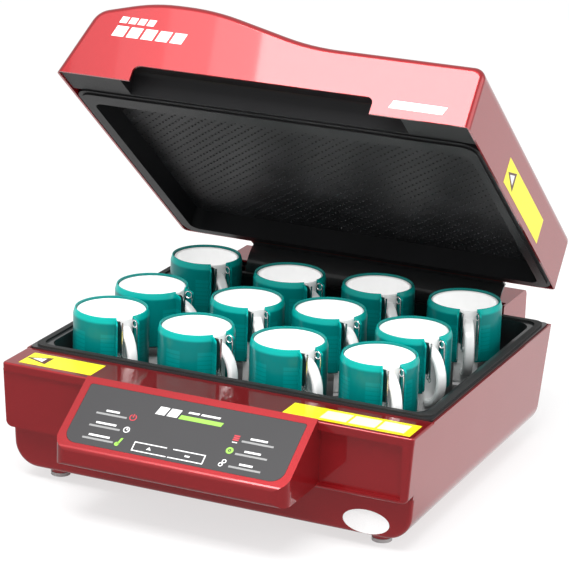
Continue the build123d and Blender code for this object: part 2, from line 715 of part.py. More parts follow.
def frame_plan(inset, front):
    x = FRAME_HALF - inset
    radius = max(FRAME_CORNER - inset, 12)
    return rectangle(-x + LEFT_TRIM, BAND_REAR_Y + front, x, FRAME_REAR_Y - inset, radius)


def membrane_frame():
    """The black frame that holds the membrane's edge and lands on the tray's gasket."""
    low, mid = LID_Z - FRAME_PROUD, LID_Z + 4
    frame = along_z(frame_plan(0, 0), LID_Z, mid) + along_z(frame_plan(4, 6), low, LID_Z)
    frame += along_z(frame_plan(FRAME_SIDE - WALL, FRAME_FRONT - WALL), mid, MEMBRANE_Z)
    return frame - along_z(frame_plan(FRAME_SIDE, FRAME_FRONT), low, MEMBRANE_Z)


def membrane():
    plan = frame_plan(FRAME_SIDE - 6, FRAME_FRONT - 6)
    return along_z(plan, MEMBRANE_Z, MEMBRANE_Z + MEMBRANE_THICK)


def membrane_clamps():
    """The bar frame that clamps the membrane's edge from above."""
    low = MEMBRANE_Z + MEMBRANE_THICK
    high = low + CLAMP_THICK
    bars = along_z(frame_plan(CLAMP_INSET, FRAME_FRONT - 6), low, high)
    over = CLAMP_OVERHANG
    return bars - along_z(frame_plan(FRAME_SIDE + over, FRAME_FRONT + over), low, high)


REFLECTOR_Z = LID_Z + REFLECTOR_HEIGHT


def reflector():
    """An upside-down tray of bright sheet over the heater tubes, standing on the clamp bars."""
    low = MEMBRANE_Z + MEMBRANE_THICK + CLAMP_THICK
    side, front = REFLECTOR_INSET, FRAME_FRONT
    outer = along_z(frame_plan(side, front), low, REFLECTOR_Z + REFLECTOR_THICK)
    inner = frame_plan(side + REFLECTOR_THICK, front + REFLECTOR_THICK)
    return outer - along_z(inner, low, REFLECTOR_Z)


TUBE_HALF = FRAME_HALF - REFLECTOR_INSET - REFLECTOR_THICK


def tube_rows():
    first = BAND_REAR_Y + FRAME_FRONT + TUBE_MARGIN + 8
    last = FRAME_REAR_Y - FRAME_SIDE - TUBE_MARGIN - 8
    return [first + (last - first) * i / (TUBE_COUNT - 1) for i in range(TUBE_COUNT)]


def heater_tubes():
    z = LID_Z + TUBE_HEIGHT
    tube = Rot(0, 90, 0) * Cylinder(TUBE_RADIUS, 2 * TUBE_HALF - LEFT_TRIM)
    return group(*[Pos(LEFT_TRIM / 2, y, z) * tube for y in tube_rows()])


def insulation():
    low = REFLECTOR_Z + REFLECTOR_THICK
    plan = frame_plan(INSULATION_INSET, FRAME_FRONT + 3)
    return along_z(plan, low, low + INSULATION_THICK)


# ---------------------------------------------------------------- hinge

def cowl_point(angle, radius):
    a = radians(angle)
    return (PIVOT_Y - radius * cos(a), PIVOT_Z + radius * sin(a))


def hinge_cowl():
    """A black sheet on the lid, bent round the hinge rod to close the gap behind the tray."""
    outer, inner = COWL_RADIUS, COWL_RADIUS - WALL
    bend = degrees(atan2(COWL_TOP, (outer ** 2 - COWL_TOP ** 2) ** 0.5))
    shelf = PIVOT_Z + COWL_TOP
    middle = (COWL_LOW + bend) / 2
    top = degrees(atan2(COWL_TOP + WALL, (inner ** 2 - (COWL_TOP + WALL) ** 2) ** 0.5))
    section = make_face([
        ThreePointArc(cowl_point(COWL_LOW, outer), cowl_point(middle, outer), cowl_point(bend, outer)),
        Line(cowl_point(bend, outer), (LID_REAR_Y, shelf)),
        Line((LID_REAR_Y, shelf), (LID_REAR_Y, shelf + COWL_FLANGE)),
        Line((LID_REAR_Y, shelf + COWL_FLANGE), (LID_REAR_Y + WALL, shelf + COWL_FLANGE)),
        Line((LID_REAR_Y + WALL, shelf + COWL_FLANGE), (LID_REAR_Y + WALL, shelf + WALL)),
        Line((LID_REAR_Y + WALL, shelf + WALL), cowl_point(top, inner)),
        ThreePointArc(cowl_point(top, inner), cowl_point(middle, inner), cowl_point(COWL_LOW, inner)),
        Line(cowl_point(COWL_LOW, inner), cowl_point(COWL_LOW, outer)),
    ])
    return along_x(section, COWL_LEFT_ROOM - HOUSING_HALF, HOUSING_HALF - COWL_RIGHT_ROOM)


def hinge_arm():
    """A steel plate from the hinge rod to a foot on the back of the lid."""
    foot_y = LID_REAR_Y + ARM_FOOT
    rise = Vector(LID_REAR_Y - PIVOT_Y, ARM_RISE)
    low = PIVOT_Z + ARM_RISE - ARM_FOOT_HEIGHT / 2
    along = rise.normalized()
    side = Vector(-along.Y, along.X) * (ARM_WIDTH / 2)
    pivot = Vector(PIVOT_Y, PIVOT_Z)
    tip = pivot + rise
    bar = outline(*[(p.X, p.Y) for p in (pivot + side, tip + side, tip - side, pivot - side)])
    bar += Pos(PIVOT_Y, PIVOT_Z) * Circle(ARM_EYE)
    bar -= Pos(PIVOT_Y, PIVOT_Z) * Circle(ROD_RADIUS + ROD_RUN)
    bar &= rectangle(foot_y, 0, PIVOT_Y + 2 * ARM_EYE, FAR)
    arm = along_x(bar, -ARM_THICK / 2, ARM_THICK / 2)
    half = ARM_FOOT_WIDTH / 2
    return arm + block(-half, LID_REAR_Y, low, half, foot_y, low + ARM_FOOT_HEIGHT)


def hinge_arms():
    arm = hinge_arm()
    return group(Pos(-ARM_X) * arm, Pos(ARM_X) * arm)


def hinge_rod():
    return Pos(0, PIVOT_Y, PIVOT_Z) * Rot(0, 90, 0) * Cylinder(ROD_RADIUS, 2 * (HOUSING_HALF - WALL))


def hinge_ears():
    """Pairs of steel ears on the housing floor, each side of an arm."""
    ears = []
    base = HOUSING_LOW + WALL
    view = outline(
        (PIVOT_Y - EAR_FOOT, base), (PIVOT_Y + EAR_FOOT, base),
        (PIVOT_Y + EAR_TOP, PIVOT_Z + EAR_TOP, EAR_CORNER),
        (PIVOT_Y - EAR_TOP, PIVOT_Z + EAR_TOP, EAR_CORNER),
    )
    view -= Pos(PIVOT_Y, PIVOT_Z) * Circle(ROD_RADIUS)
    reach = ARM_THICK / 2 + EAR_GAP
    for x in (-ARM_X, ARM_X):
        for side in (-1, 1):
            low = x + side * reach
            ears.append(along_x(view, min(low, low + side * EAR_THICK), max(low, low + side * EAR_THICK)))
    return group(*ears)


def friction_cartridges():
    """Two barrels round the hinge rod that hold the lid where it is put."""
    length = CARTRIDGE_LENGTH
    ring = Cylinder(CARTRIDGE_RADIUS, length) - Cylinder(ROD_RADIUS, length)
    barrel = Rot(0, 90, 0) * ring
    x = ARM_X - ARM_THICK / 2 - EAR_GAP - EAR_THICK - length / 2
    return group(*[Pos(side * x, PIVOT_Y, PIVOT_Z) * barrel for side in (-1, 1)])


def rear_housing():
    """The red box behind the casing that holds the hinge, open in front for the cowl."""
    front = REAR_Y + HOUSING_FRONT_GAP
    view = outline(
        (front, HOUSING_LOW), (HOUSING_REAR_Y, HOUSING_LOW, 8), (HOUSING_REAR_Y, HOUSING_TOP, 8),
        (front, HOUSING_TOP, 3),
    )
    inside = outline(
        (front - 1, HOUSING_LOW + WALL), (HOUSING_REAR_Y - WALL, HOUSING_LOW + WALL, 6),
        (HOUSING_REAR_Y - WALL, HOUSING_TOP - WALL, 6), (front - 1, HOUSING_TOP - WALL),
    )
    box = along_x(view, -HOUSING_HALF, HOUSING_HALF)
    box -= along_x(inside, -HOUSING_HALF + WALL, HOUSING_HALF - WALL)
    inner = HOUSING_HALF - WALL
    box -= block(-inner, front - 1, HOUSING_TOP - 2 * WALL, inner, ROOF_FRONT_Y, HOUSING_TOP + 1)
    for x in (-ARM_X, ARM_X):
        box -= block(x - SLOT_HALF, ROOF_FRONT_Y - 1, HOUSING_TOP - 2 * WALL, x + SLOT_HALF, SLOT_REAR_Y, FAR)
    shelf = block(-inner, rear_y(HOUSING_LOW), HOUSING_LOW, inner, front, HOUSING_LOW + WALL)
    return box + shelf - along_x(side_view(), -FAR, FAR)


# ---------------------------------------------------------------- feet and rear fittings

def at_feet(shape):
    side = HALF - FOOT_INSET
    places = [(x, y) for x in (-side, side) for y in (FOOT_FRONT_Y, FOOT_REAR_Y)]
    return group(*[Pos(x, y) * shape for x, y in places])


def foot_stem():
    return along_z(Circle(FOOT_RADIUS), PAD_HEIGHT, BASE_BOTTOM)


def foot_pad():
    return along_z(Circle(PAD_RADIUS), 0, PAD_HEIGHT)


def fan_frame():
    """Square fan housing behind the rear panel, with a round duct and a spider for the axle."""
    plane = rear_plane(FAN_X, FAN_Z, WALL)
    frame = RectangleRounded(FAN_SIZE, FAN_SIZE, 4) - Circle(FAN_BORE)
    spider = Rectangle(2 * FAN_BORE + 1, 4) + Rectangle(4, 2 * FAN_BORE + 1) + Circle(HUB_RADIUS)
    body = extrude(plane * frame, -FAN_DEPTH)
    body += extrude(plane.offset(-FAN_DEPTH + 2) * spider, -2)
    return body + extrude(plane.offset(-FAN_DEPTH + 2) * Circle(AXLE_RADIUS), FAN_DEPTH - 4)


def fan_rotor():
    plane = rear_plane(FAN_X, FAN_Z, WALL)
    deep = FAN_DEPTH - 4.5
    rotor = extrude(plane.offset(-1.5) * Circle(HUB_RADIUS), -deep)
    reach = FAN_BORE - 1.5
    span = Box(reach - HUB_RADIUS + 1, 1.2, 8)
    blade = Pos((HUB_RADIUS + reach) / 2 - 0.5, 0, 0) * Rot(BLADE_PITCH, 0, 0) * span
    middle = plane.offset(-1.5 - deep / 2)
    for i in range(BLADE_COUNT):
        rotor += middle * Rot(0, 0, i * 360 / BLADE_COUNT) * blade
    return rotor - extrude(plane.offset(-1) * Circle(AXLE_RADIUS + AXLE_RUN), -FAN_DEPTH)


def fan_grille():
    face = RectangleRounded(FAN_SIZE + 4, FAN_SIZE + 4, 5)
    for radius in (5, 9.5, 14):
        face -= Circle(radius + 1.6) - Circle(radius - 1.6)
    face += Rectangle(2 * FAN_BORE, 3) + Rectangle(3, 2 * FAN_BORE)
    return extrude(rear_plane(FAN_X, FAN_Z) * face, GRILLE_THICK)


def power_inlet():
    """Flanged mains socket with a hollow and three flat pins."""
    plane = rear_plane(INLET_X, FITTING_Z)
    body = extrude(plane * RectangleRounded(INLET_WIDTH + 4, INLET_HEIGHT + 4, 3), 2.5)
    body += extrude(plane * Rectangle(INLET_WIDTH - 3, INLET_HEIGHT - 3), -INLET_DEPTH)
    mouth = outline((-12, -8, 2), (12, -8, 2), (12, 4), (8, 8), (-8, 8), (-12, 4))
    body -= extrude(plane.offset(2.5) * mouth, -18)
    for x, y in ((-7, -2), (0, 2), (7, -2)):
        body += extrude(plane.offset(-16) * Pos(x, y) * Rectangle(2, 4), 14)
    return body


def switch_frame():
    plane = rear_plane(SWITCH_X, FITTING_Z)
    body = extrude(plane * RectangleRounded(SWITCH_WIDTH + 4, SWITCH_HEIGHT + 4, 2), 2)
    body += extrude(plane * Rectangle(SWITCH_WIDTH - 3, SWITCH_HEIGHT - 3), -SWITCH_DEPTH)
    return body - extrude(plane.offset(2) * Rectangle(SWITCH_WIDTH - 6, SWITCH_HEIGHT - 6), -12)


def power_switch():
    """A rocker that tips about its own pin, with its far half pressed in."""
    plane = rear_plane(SWITCH_X, FITTING_Z).offset(-3)
    w = SWITCH_WIDTH / 2 - 5
    rocker = outline((-w, 3.5, 1), (-w + 2, -2), (w - 2, -2), (w, 6.5, 1), (0, 4))
    high = SWITCH_HEIGHT - 7
    flat = Plane(plane.origin, x_dir=plane.x_dir, z_dir=-plane.y_dir)
    return extrude(flat * rocker, high / 2, both=True)


def fuse_holder():
    plane = rear_plane(FUSE_X, FITTING_Z)
    cap = extrude(plane * Circle(FUSE_RADIUS + 2), 6) + extrude(plane * Circle(FUSE_RADIUS - FIT_GAP), -22)
    return cap - extrude(plane.offset(6) * Rectangle(9, 1.6), -1.5)


# ---------------------------------------------------------------- inside the casing

FLOOR_IN = BASE_BOTTOM + WALL


def vacuum_pump():
    """A motor on a foot, with the pump's head under the tray's port."""
    z = FLOOR_IN + PUMP_LIFT + PUMP_RADIUS
    head, end = PUMP_HEAD_HALF, -PUMP_HEAD / 2
    middle = end - PUMP_LENGTH / 2
    motor = Pos(middle, PORT_Y, z) * Rot(0, 90, 0) * Cylinder(PUMP_RADIUS, PUMP_LENGTH)
    pump = motor + block(end, PORT_Y - head, FLOOR_IN, -end, PORT_Y + head, z + head)
    foot, half = PUMP_FOOT_HALF, PUMP_FOOT_LENGTH / 2
    return pump + block(
        middle - half, PORT_Y - foot, FLOOR_IN, middle + half, PORT_Y + foot, FLOOR_IN + 2 * PUMP_LIFT
    )


def vacuum_hose():
    """A short hose from the pump's head up to the tray's port."""
    low = FLOOR_IN + PUMP_LIFT + PUMP_RADIUS + PUMP_HEAD_HALF
    ring = Circle(HOSE_RADIUS) - Circle(PORT_BORE)
    return Pos(0, PORT_Y) * along_z(ring, low, TRAY_FLOOR_Z - TRAY_WALL)


def power_board():
    """Relay and transformer on a board with four stand-offs."""
    x, y = POWER_LONG / 2, POWER_WIDE / 2
    z = FLOOR_IN + POWER_LIFT
    top = z + POWER_THICK
    half = RELAY_SIZE / 2
    board = block(-x, -y, z, x, y, top)
    board += block(-RELAY_SHIFT - half, -half, top, half - RELAY_SHIFT, half, top + RELAY_HEIGHT)
    board += block(COIL_SHIFT, -COIL_HALF, top, COIL_SHIFT + COIL_THICK, COIL_HALF, top + COIL_HEIGHT)
    half = PILLAR / 2
    for px in (PILLAR - x, x - PILLAR):
        for py in (PILLAR - y, y - PILLAR):
            board += block(px - half, py - half, FLOOR_IN, px + half, py + half, z)
    return Pos(POWER_X, PLINTH_Y + POWER_FRONT_ROOM + y) * board


def lid_probe():
    """The temperature probe between two heater tubes."""
    rows = tube_rows()
    y = (rows[2] + rows[3]) / 2
    z = LID_Z + TUBE_HEIGHT
    return Pos(PROBE_X, y) * along_z(Circle(PROBE_RADIUS), z - TUBE_RADIUS, REFLECTOR_Z)


def build():
    left, right, pan = side_panels()
    fixed = {
        "side_panel_left": left,
        "side_panel_right": right,
        "bottom_pan": pan,
        "rear_panel": rear_panel(),
        "plinth_front": plinth_front(),
        "front_shell": front_shell(),
        "top_deck": top_deck(),
        "control_bezel": control_bezel(),
        "control_face": control_face(),
        "control_board": control_board(),
        "chamber_tray": chamber_tray(),
        "tray_gasket": tray_gasket(),
        "tray_supports": tray_supports(),
        "mugs": at_mugs(mug()),
        "mug_wraps": at_mugs(mug_wrap()),
        "clasp_plates": at_mugs(clasp_plate()),
        "clasp_wires": at_mugs(clasp_wires()),
        "mug_cradles": at_mugs(mug_cradle()),
        "hinge_rod": hinge_rod(),
        "hinge_ears": hinge_ears(),
        "friction_cartridges": friction_cartridges(),
        "rear_housing": rear_housing(),
        "foot_stems": at_feet(foot_stem()),
        "foot_pads": at_feet(foot_pad()),
        "fan_frame": fan_frame(),
        "fan_rotor": fan_rotor(),
        "fan_grille": fan_grille(),
        "power_inlet": power_inlet(),
        "switch_frame": switch_frame(),
        "power_switch": power_switch(),
        "fuse_holder": fuse_holder(),
        "vacuum_pump": vacuum_pump(),
        "vacuum_hose": vacuum_hose(),
        "power_board": power_board(),
    }
    lid = {
        "lid_shell": lid_shell(),
        "lid_liner": lid_liner(),
        "membrane_frame": membrane_frame(),
        "membrane": membrane(),
        "membrane_clamps": membrane_clamps(),
        "reflector": reflector(),
        "heater_tubes": heater_tubes(),
        "insulation": insulation(),
        "lid_probe": lid_probe(),
        "hinge_cowl": hinge_cowl(),
        "hinge_arms": hinge_arms(),
    }
    return fixed | {name: swung_open(shape) for name, shape in lid.items()}


nodes = build()
bounds = [shape.bounding_box() for shape in nodes.values()]
low = [min(getattr(b.min, axis) for b in bounds) for axis in "XYZ"]
high = [max(getattr(b.max, axis) for b in bounds) for axis in "XYZ"]
home = Pos(-(low[0] + high[0]) / 2, -(low[1] + high[1]) / 2, -low[2])
os.makedirs("parts", exist_ok=True)
for name, shape in nodes.items():
    export_step(home * shape, f"parts/{name}.step")
print("moved by", home.position, "size", [b - a for a, b in zip(low, high)])
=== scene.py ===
"""Looks of a vacuum heat press for mugs, built round its packed frame.

Metres, in the frame's own axes: X to the right, Y to the rear, Z up. Pieces of the lid are drawn with the
lid shut and placed with LID_SWING, which swings them to the open lid's rest.
"""
import json
from math import atan2, cos, pi, radians, sin, tan

import bmesh
import bpy
from bpy.props import FloatProperty, FloatVectorProperty, IntProperty, PointerProperty
from mathutils import Matrix, Vector


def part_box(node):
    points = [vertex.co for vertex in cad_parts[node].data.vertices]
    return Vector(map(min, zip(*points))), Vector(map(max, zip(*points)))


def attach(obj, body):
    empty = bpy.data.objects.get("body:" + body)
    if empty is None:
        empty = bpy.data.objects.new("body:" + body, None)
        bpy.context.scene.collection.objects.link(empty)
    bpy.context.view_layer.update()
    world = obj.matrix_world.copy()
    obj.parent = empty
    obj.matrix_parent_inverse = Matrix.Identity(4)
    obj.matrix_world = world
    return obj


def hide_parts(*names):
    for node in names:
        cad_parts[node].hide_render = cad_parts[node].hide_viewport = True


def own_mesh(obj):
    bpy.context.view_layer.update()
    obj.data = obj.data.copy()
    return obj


bl_info = {
    "name": "Mug Heat Press Dresser",
    "version": (1, 0, 0),
    "blender": (4, 5, 0),
    "location": "View3D > Sidebar > Heat Press",
    "description": "Dresses the frame of a vacuum heat press for mugs and sets up its studio",
    "category": "Object",
}

MM = 0.001
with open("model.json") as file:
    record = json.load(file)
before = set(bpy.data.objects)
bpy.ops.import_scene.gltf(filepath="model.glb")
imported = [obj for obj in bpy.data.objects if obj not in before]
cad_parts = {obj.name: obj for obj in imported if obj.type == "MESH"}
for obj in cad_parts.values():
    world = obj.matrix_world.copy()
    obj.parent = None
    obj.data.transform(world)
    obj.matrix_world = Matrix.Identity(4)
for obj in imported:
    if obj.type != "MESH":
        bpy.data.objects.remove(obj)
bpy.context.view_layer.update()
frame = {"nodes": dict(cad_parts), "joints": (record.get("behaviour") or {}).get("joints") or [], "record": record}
HINGE = next(joint for joint in frame["joints"] if joint["name"] == "lid_hinge")
PIVOT = Vector(HINGE["pos_m"])
LID_SWING = (
    Matrix.Translation(PIVOT)
    @ Matrix.Rotation(radians(-HINGE["range_deg"][0]), 4, Vector(HINGE["axis"]))
    @ Matrix.Translation(-PIVOT)
)
OPENINGS = {
    opening["name"]: [Vector(corner) for corner in opening["box_m"]]
    for opening in frame["record"]["physics"]["openings"]
}
MUG_NAMES = [name[len("mug_"):] for name in OPENINGS if name.startswith("mug_")]


def shut_box(node):
    """Lowest and highest corner of one of the lid's nodes with the lid shut."""
    back = LID_SWING.inverted()
    points = [back @ vertex.co for vertex in frame["nodes"][node].data.vertices]
    low = Vector([min(p[axis] for p in points) for axis in range(3)])
    high = Vector([max(p[axis] for p in points) for axis in range(3)])
    return low, high


# ---------------------------------------------------------------- settings

def length(name, default, description):
    return FloatProperty(name=name, description=description, default=default, unit="LENGTH", precision=4)


def angle(name, degrees, description):
    return FloatProperty(name=name, description=description, default=radians(degrees), subtype="ANGLE")


def number(name, default, description):
    return FloatProperty(name=name, description=description, default=default)


def colour(name, default, description):
    return FloatVectorProperty(
        name=name, description=description, default=default, subtype="COLOR", min=0.0, max=1.0
    )


class PressPaint(bpy.types.PropertyGroup):
    """Colours of the casing, lid and linings."""
    red: colour("Pearl red", (0.36, 0.006, 0.011), "Base of the red paint")
    black: colour("Black enamel", (0.018, 0.019, 0.020), "Tray and hinge cowl")
    lining: colour("Lining black", (0.008, 0.008, 0.009), "Membrane frame and the band behind the lid's edge")
    rubber: colour("Membrane", (0.010, 0.010, 0.011), "Stretched membrane")


class PressMug(bpy.types.PropertyGroup):
    """Sizes of one mug."""
    radius: length("Radius", 41.0 * MM, "Outside radius of the mug")
    height: length("Height", 95.0 * MM, "Height from foot to rim")
    wall: length("Wall", 3.5 * MM, "Wall thickness")
    floor: length("Floor", 7.0 * MM, "Thickness of the bottom")
    seat: length("Seat", 88.0 * MM, "Height of the mug's foot over the worktop")
    reach: length("Handle reach", 30.5 * MM, "How far the handle stands out from the wall's middle")
    rise: length("Handle rise", 35.0 * MM, "Half the handle's height")
    middle: length("Handle middle", 50.0 * MM, "Height of the handle's centre over the foot")
    band: length("Handle band", 8.0 * MM, "Thickness of the handle")
    width: length("Handle width", 12.0 * MM, "Width of the handle")
    glaze: colour("Glaze", (0.90, 0.90, 0.895), "White glaze")
    # Painted glow: emission of the glaze inside the mug, lightening the inside that the lid shades.
    glow: number("Glow", 0.26, "Light that the white wall passes on to the inside")


class PressWrap(bpy.types.PropertyGroup):
    """Sizes of the silicone wrap and its clasp."""
    gap: length("Fit", 0.3 * MM, "Gap between the mug and its wrap")
    thick: length("Thickness", 3.6 * MM, "Thickness of the wrap")
    height: length("Height", 66.0 * MM, "Height of the wrap")
    over: length("Over the rim", 2.5 * MM, "How far the wrap stands over the rim")
    lip: length("Lip", 7.0 * MM, "Height over which the wrap closes in to the rim")
    brim: length("Brim", 1.6 * MM, "Thickness of the wrap at its top edge")
    opening: angle("Opening", 28.0, "Angle left open for the handle")
    flap: length("End flap", 8.0 * MM, "How far each end turns out")
    flap_thick: length("Flap thickness", 1.9 * MM, "Thickness of the flaps")
    plate: length("Clasp height", 38.0 * MM, "Height of the clasp plate")
    plate_reach: length("Clasp reach", 11.5 * MM, "Width of the clasp plate")
    lean: angle("Clasp lean", 22.0, "How far the plate turns to the handle")
    wire: length("Wire", 2.2 * MM, "Diameter of the clasp's rod")
    eye: length("Eye", 4.2 * MM, "Radius of the wire's eye")
    silicone: colour("Silicone", (0.0, 0.19, 0.182), "Body of the wrap")
    # Painted highlight: a lighter teal standing for the light caught along the wrap's thin lip.
    rim: colour("Rim", (0.0, 0.44, 0.39), "Thin, lit lip of the wrap")


class PressCradle(bpy.types.PropertyGroup):
    """Sizes of the windowed ring that holds a mug."""
    clearance: length("Clearance", 1.0 * MM, "Gap between the mug and the ring")
    wall: length("Wall", 2.0 * MM, "Sheet thickness of the ring")
    height: length("Height", 38.0 * MM, "Height of the ring")
    sill: length("Sill", 9.0 * MM, "Strip left over the windows")
    window: length("Window", 18.0 * MM, "Height of the windows")
    ledge: length("Ledge", 9.0 * MM, "Width of the ledge under the mug")
    ledge_thick: length("Ledge thickness", 4.0 * MM, "Thickness of the ledge")
    windows: IntProperty(name="Windows", description="Windows round the ring", default=4, min=1)
    gap: angle("Gap", 40.0, "Angle left open for the handle")


class PressLid(bpy.types.PropertyGroup):
    """Sizes of the lid's membrane and marks."""
    corner: length("Corner", 14.0 * MM, "Rounding of the membrane's corners")
    pitch: length("Pimple pitch", 13.0 * MM, "Distance between the pimples in a row")
    row: length("Pimple row", 6.5 * MM, "Distance between the rows")
    pimple: length("Pimple", 1.5 * MM, "Radius of one pimple")
    block_tall: length("Title block", 13.5 * MM, "Height of the lid's larger white blocks")
    block_low: length("Title height", 53.0 * MM, "Foot of the larger blocks over the lid's lower edge")


class PressPanel(bpy.types.PropertyGroup):
    """Control panel and its printed marks."""
    overlay: colour("Overlay", (0.052, 0.051, 0.053), "Grey overlay")
    print_high: length("Print", 0.2 * MM, "Thickness of one printed or stuck layer")
    row_pitch: length("Row pitch", 17.3 * MM, "Distance between the rows of marks")
    bar_tall: length("Bar", 2.5 * MM, "Height of a printed bar")
    line: length("Line", 1.3 * MM, "Width of the key's outline")
    red: colour("Red mark", (0.60, 0.03, 0.05), "Power and heater marks")
    green: colour("Green mark", (0.30, 0.62, 0.07), "Thermometer and fan marks")
    white: colour("White mark", (0.88, 0.88, 0.88), "White marks")
    grey: colour("Grey bar", (0.30, 0.30, 0.30), "Bars beside the marks")
    yellow: colour("Label", (0.93, 0.85, 0.01), "Blank warning plates")
    pale: colour("Label panel", (0.93, 0.91, 0.62), "Pale fields on the right plate")
    dark: colour("Sign", (0.09, 0.012, 0.010), "Border of the warning sign")


class PressStudio(bpy.types.PropertyGroup):
    """Camera, floor and lamps."""
    azimuth: angle("Azimuth", 24.03, "Camera round the press")
    elevation: angle("Elevation", 17.61, "Camera above level")
    roll: angle("Roll", 1.84, "Tilt of the picture")
    distance: length("Distance", 3.176, "Camera to its target")
    target: FloatVectorProperty(
        name="Target", description="Point in the picture's middle, from the lid's hinge",
        default=(-0.0309, -0.2085, 0.0578), unit="LENGTH",
    )
    lens: number("Lens", 167.7, "Focal length in millimetres")
    fill: number("Fill", 0.95, "Strength of the even light")
    mirrored: number("Mirrored room", 0.55, "Brightness of the room in reflections")
    key: number("Key", 8.5, "Brightness of the large lamp")
    wing: number("Wing", 3.0, "Brightness of the strips left of the large lamp")
    side: number("Side", 1.6, "Brightness of the lamp on the right")
    floor: number("Floor", 0.80, "Paleness of the floor")
    front_floor: number("Front floor", 0.35, "Brightness of the floor before the press in reflections")
    rear_floor: number("Rear floor", 0.9, "Brightness of the floor behind it in reflections")
    backdrop: number("Backdrop", 0.66, "Light added to the floor that is seen")
    unlit: number("Unlit", 0.6, "Share of its own colour that the seen floor gives up for that light")


SETTINGS = {
    "press_paint": PressPaint, "press_mug": PressMug, "press_wrap": PressWrap, "press_cradle": PressCradle,
    "press_lid": PressLid, "press_panel": PressPanel, "press_studio": PressStudio,
}


def settings(name):
    return getattr(bpy.context.scene, name)


# ---------------------------------------------------------------- shader maths

class Value:
    """A shader socket that takes part in plain arithmetic."""

    def __init__(self, nodes, socket):
        self.nodes = nodes
        self.socket = socket

    def apply(self, operation, *others, swap=False):
        values = [self, *others]
        if swap:
            values.reverse()
        return self.nodes.add("ShaderNodeMath", {"operation": operation}, dict(enumerate(values)))

    def __add__(self, other):
        return self.apply("ADD", other)

    __radd__ = __add__

    def __sub__(self, other):
        return self.apply("SUBTRACT", other)

    def __rsub__(self, other):
        return self.apply("SUBTRACT", other, swap=True)

    def __mul__(self, other):
        return self.apply("MULTIPLY", other)

    __rmul__ = __mul__

    def __truediv__(self, other):
        return self.apply("DIVIDE", other)

    def __lt__(self, other):
        return self.apply("LESS_THAN", other)

    def __abs__(self):
        return self.apply("ABSOLUTE")

    def between(self, low, high):
        """0 up to low, 1 from high, and a smooth rise from one to the other."""
        return self.nodes.add(
            "ShaderNodeMapRange", {"interpolation_type": "SMOOTHSTEP"}, {0: self, 1: low, 2: high}
        )

    def cell(self, size):
        """The place within a repeating cell, from 0 to 1."""
        return (self / size).apply("FRACT")


class Nodes:
    """The nodes of a material or of the world, and the shader that they feed."""

    def __init__(self, owner, shader):
        owner.use_nodes = True
        self.tree = owner.node_tree
        self.shader = self.tree.nodes[shader]

    def add(self, kind, setup, values, output=0):
        """Adds a node: its setup first, then what goes into its sockets."""
        node = self.tree.nodes.new(kind)
        for name, setting in setup.items():
            setattr(node, name, setting)
        for name, value in values.items():
            self.join(node.inputs[name], value)
        return Value(self, node.outputs[output])

    def join(self, socket, value):
        if isinstance(value, Value):
            self.tree.links.new(value.socket, socket)
        elif hasattr(value, "__len__") and socket.type == "RGBA":
            socket.default_value = (*value[:3], 1.0)
        else:
            socket.default_value = value

    def set(self, socket, value):
        """Gives the shader a value, a colour or a link."""
        self.join(self.shader.inputs[socket], value)

    def ray(self, kind):
        """1 for light rays of one kind, and 0 for the others."""
        return self.add("ShaderNodeLightPath", {}, {}, output=kind)


class Finish(Nodes):
    """A material being made, with the places and grains that its colour, gloss and bump follow."""

    def __init__(self, name, **constants):
        self.material = bpy.data.materials.new(name)
        super().__init__(self.material, "Principled BSDF")
        for socket, value in constants.items():
            self.set(socket.replace("_", " "), value)

    def where(self):
        """Where a point lies on the piece at rest."""
        return self.add("ShaderNodeTexCoord", {}, {}, output="Object")

    def along(self, axis):
        """How far a point lies along one of the piece's axes."""
        return self.add("ShaderNodeSeparateXYZ", {}, {0: self.where()}, output=axis)

    def from_axis(self):
        """How far a point lies from the piece's Z axis."""
        x, y = self.along("X"), self.along("Y")
        return (x * x + y * y).apply("SQRT")

    def stretched(self, x, y, z):
        """Where a point lies, with each axis stretched by its factor."""
        return self.add("ShaderNodeVectorMath", {"operation": "MULTIPLY"}, {0: self.where(), 1: (x, y, z)})

    def noise(self, scale, detail=3.0, rough=0.5, vector=None):
        """Cloudy values round 0.5."""
        values = {"Vector": vector or self.where(), "Scale": scale, "Detail": detail, "Roughness": rough}
        return self.add("ShaderNodeTexNoise", {}, values)

    def spots(self, scale):
        """Distance to the nearest of many scattered points, in cells."""
        return self.add("ShaderNodeTexVoronoi", {}, {"Vector": self.where(), "Scale": scale})

    def mix(self, share, first, second):
        return self.add("ShaderNodeMix", {"data_type": "RGBA"}, {0: share, 6: first, 7: second}, output=2)

    def bump(self, height, depth):
        """Raises the surface by height times depth, in metres."""
        values = {"Height": height, "Distance": depth, "Strength": 1.0}
        self.set("Normal", self.add("ShaderNodeBump", {}, values))


def shade(base, factor):
    return tuple(min(1.0, channel * factor) for channel in base)


# ---------------------------------------------------------------- finishes

def grained(name, scale, dark, light, least, more, depth, detail=3.0, rough=0.5, **constants):
    """A finish whose colour, roughness (least, and how much more) and bump follow one grain."""
    finish = Finish(name, **constants)
    grain = finish.noise(scale, detail, rough)
    finish.set("Base Color", finish.mix(grain, dark, light))
    finish.set("Roughness", least + grain * more)
    finish.bump(grain, depth)
    return finish.material


def pearl_red():
    """Pearl paint: fine flakes in a red base under a clear coat."""
    red = settings("press_paint").red
    finish = Finish("pearl_red", Coat_Weight=1.0, Coat_Roughness=0.035, Coat_IOR=1.6, Metallic=0.65)
    flakes = finish.spots(2600.0).between(0.15, 0.6)
    clouds = finish.noise(5.0)
    finish.set("Base Color", finish.mix(flakes, shade(red, 1.22), shade(red, 0.9)))
    finish.set("Roughness", 0.30 + clouds * 0.10 + flakes * 0.05)
    finish.bump(finish.noise(260.0, detail=1.0), 0.02 * MM)
    return finish.material


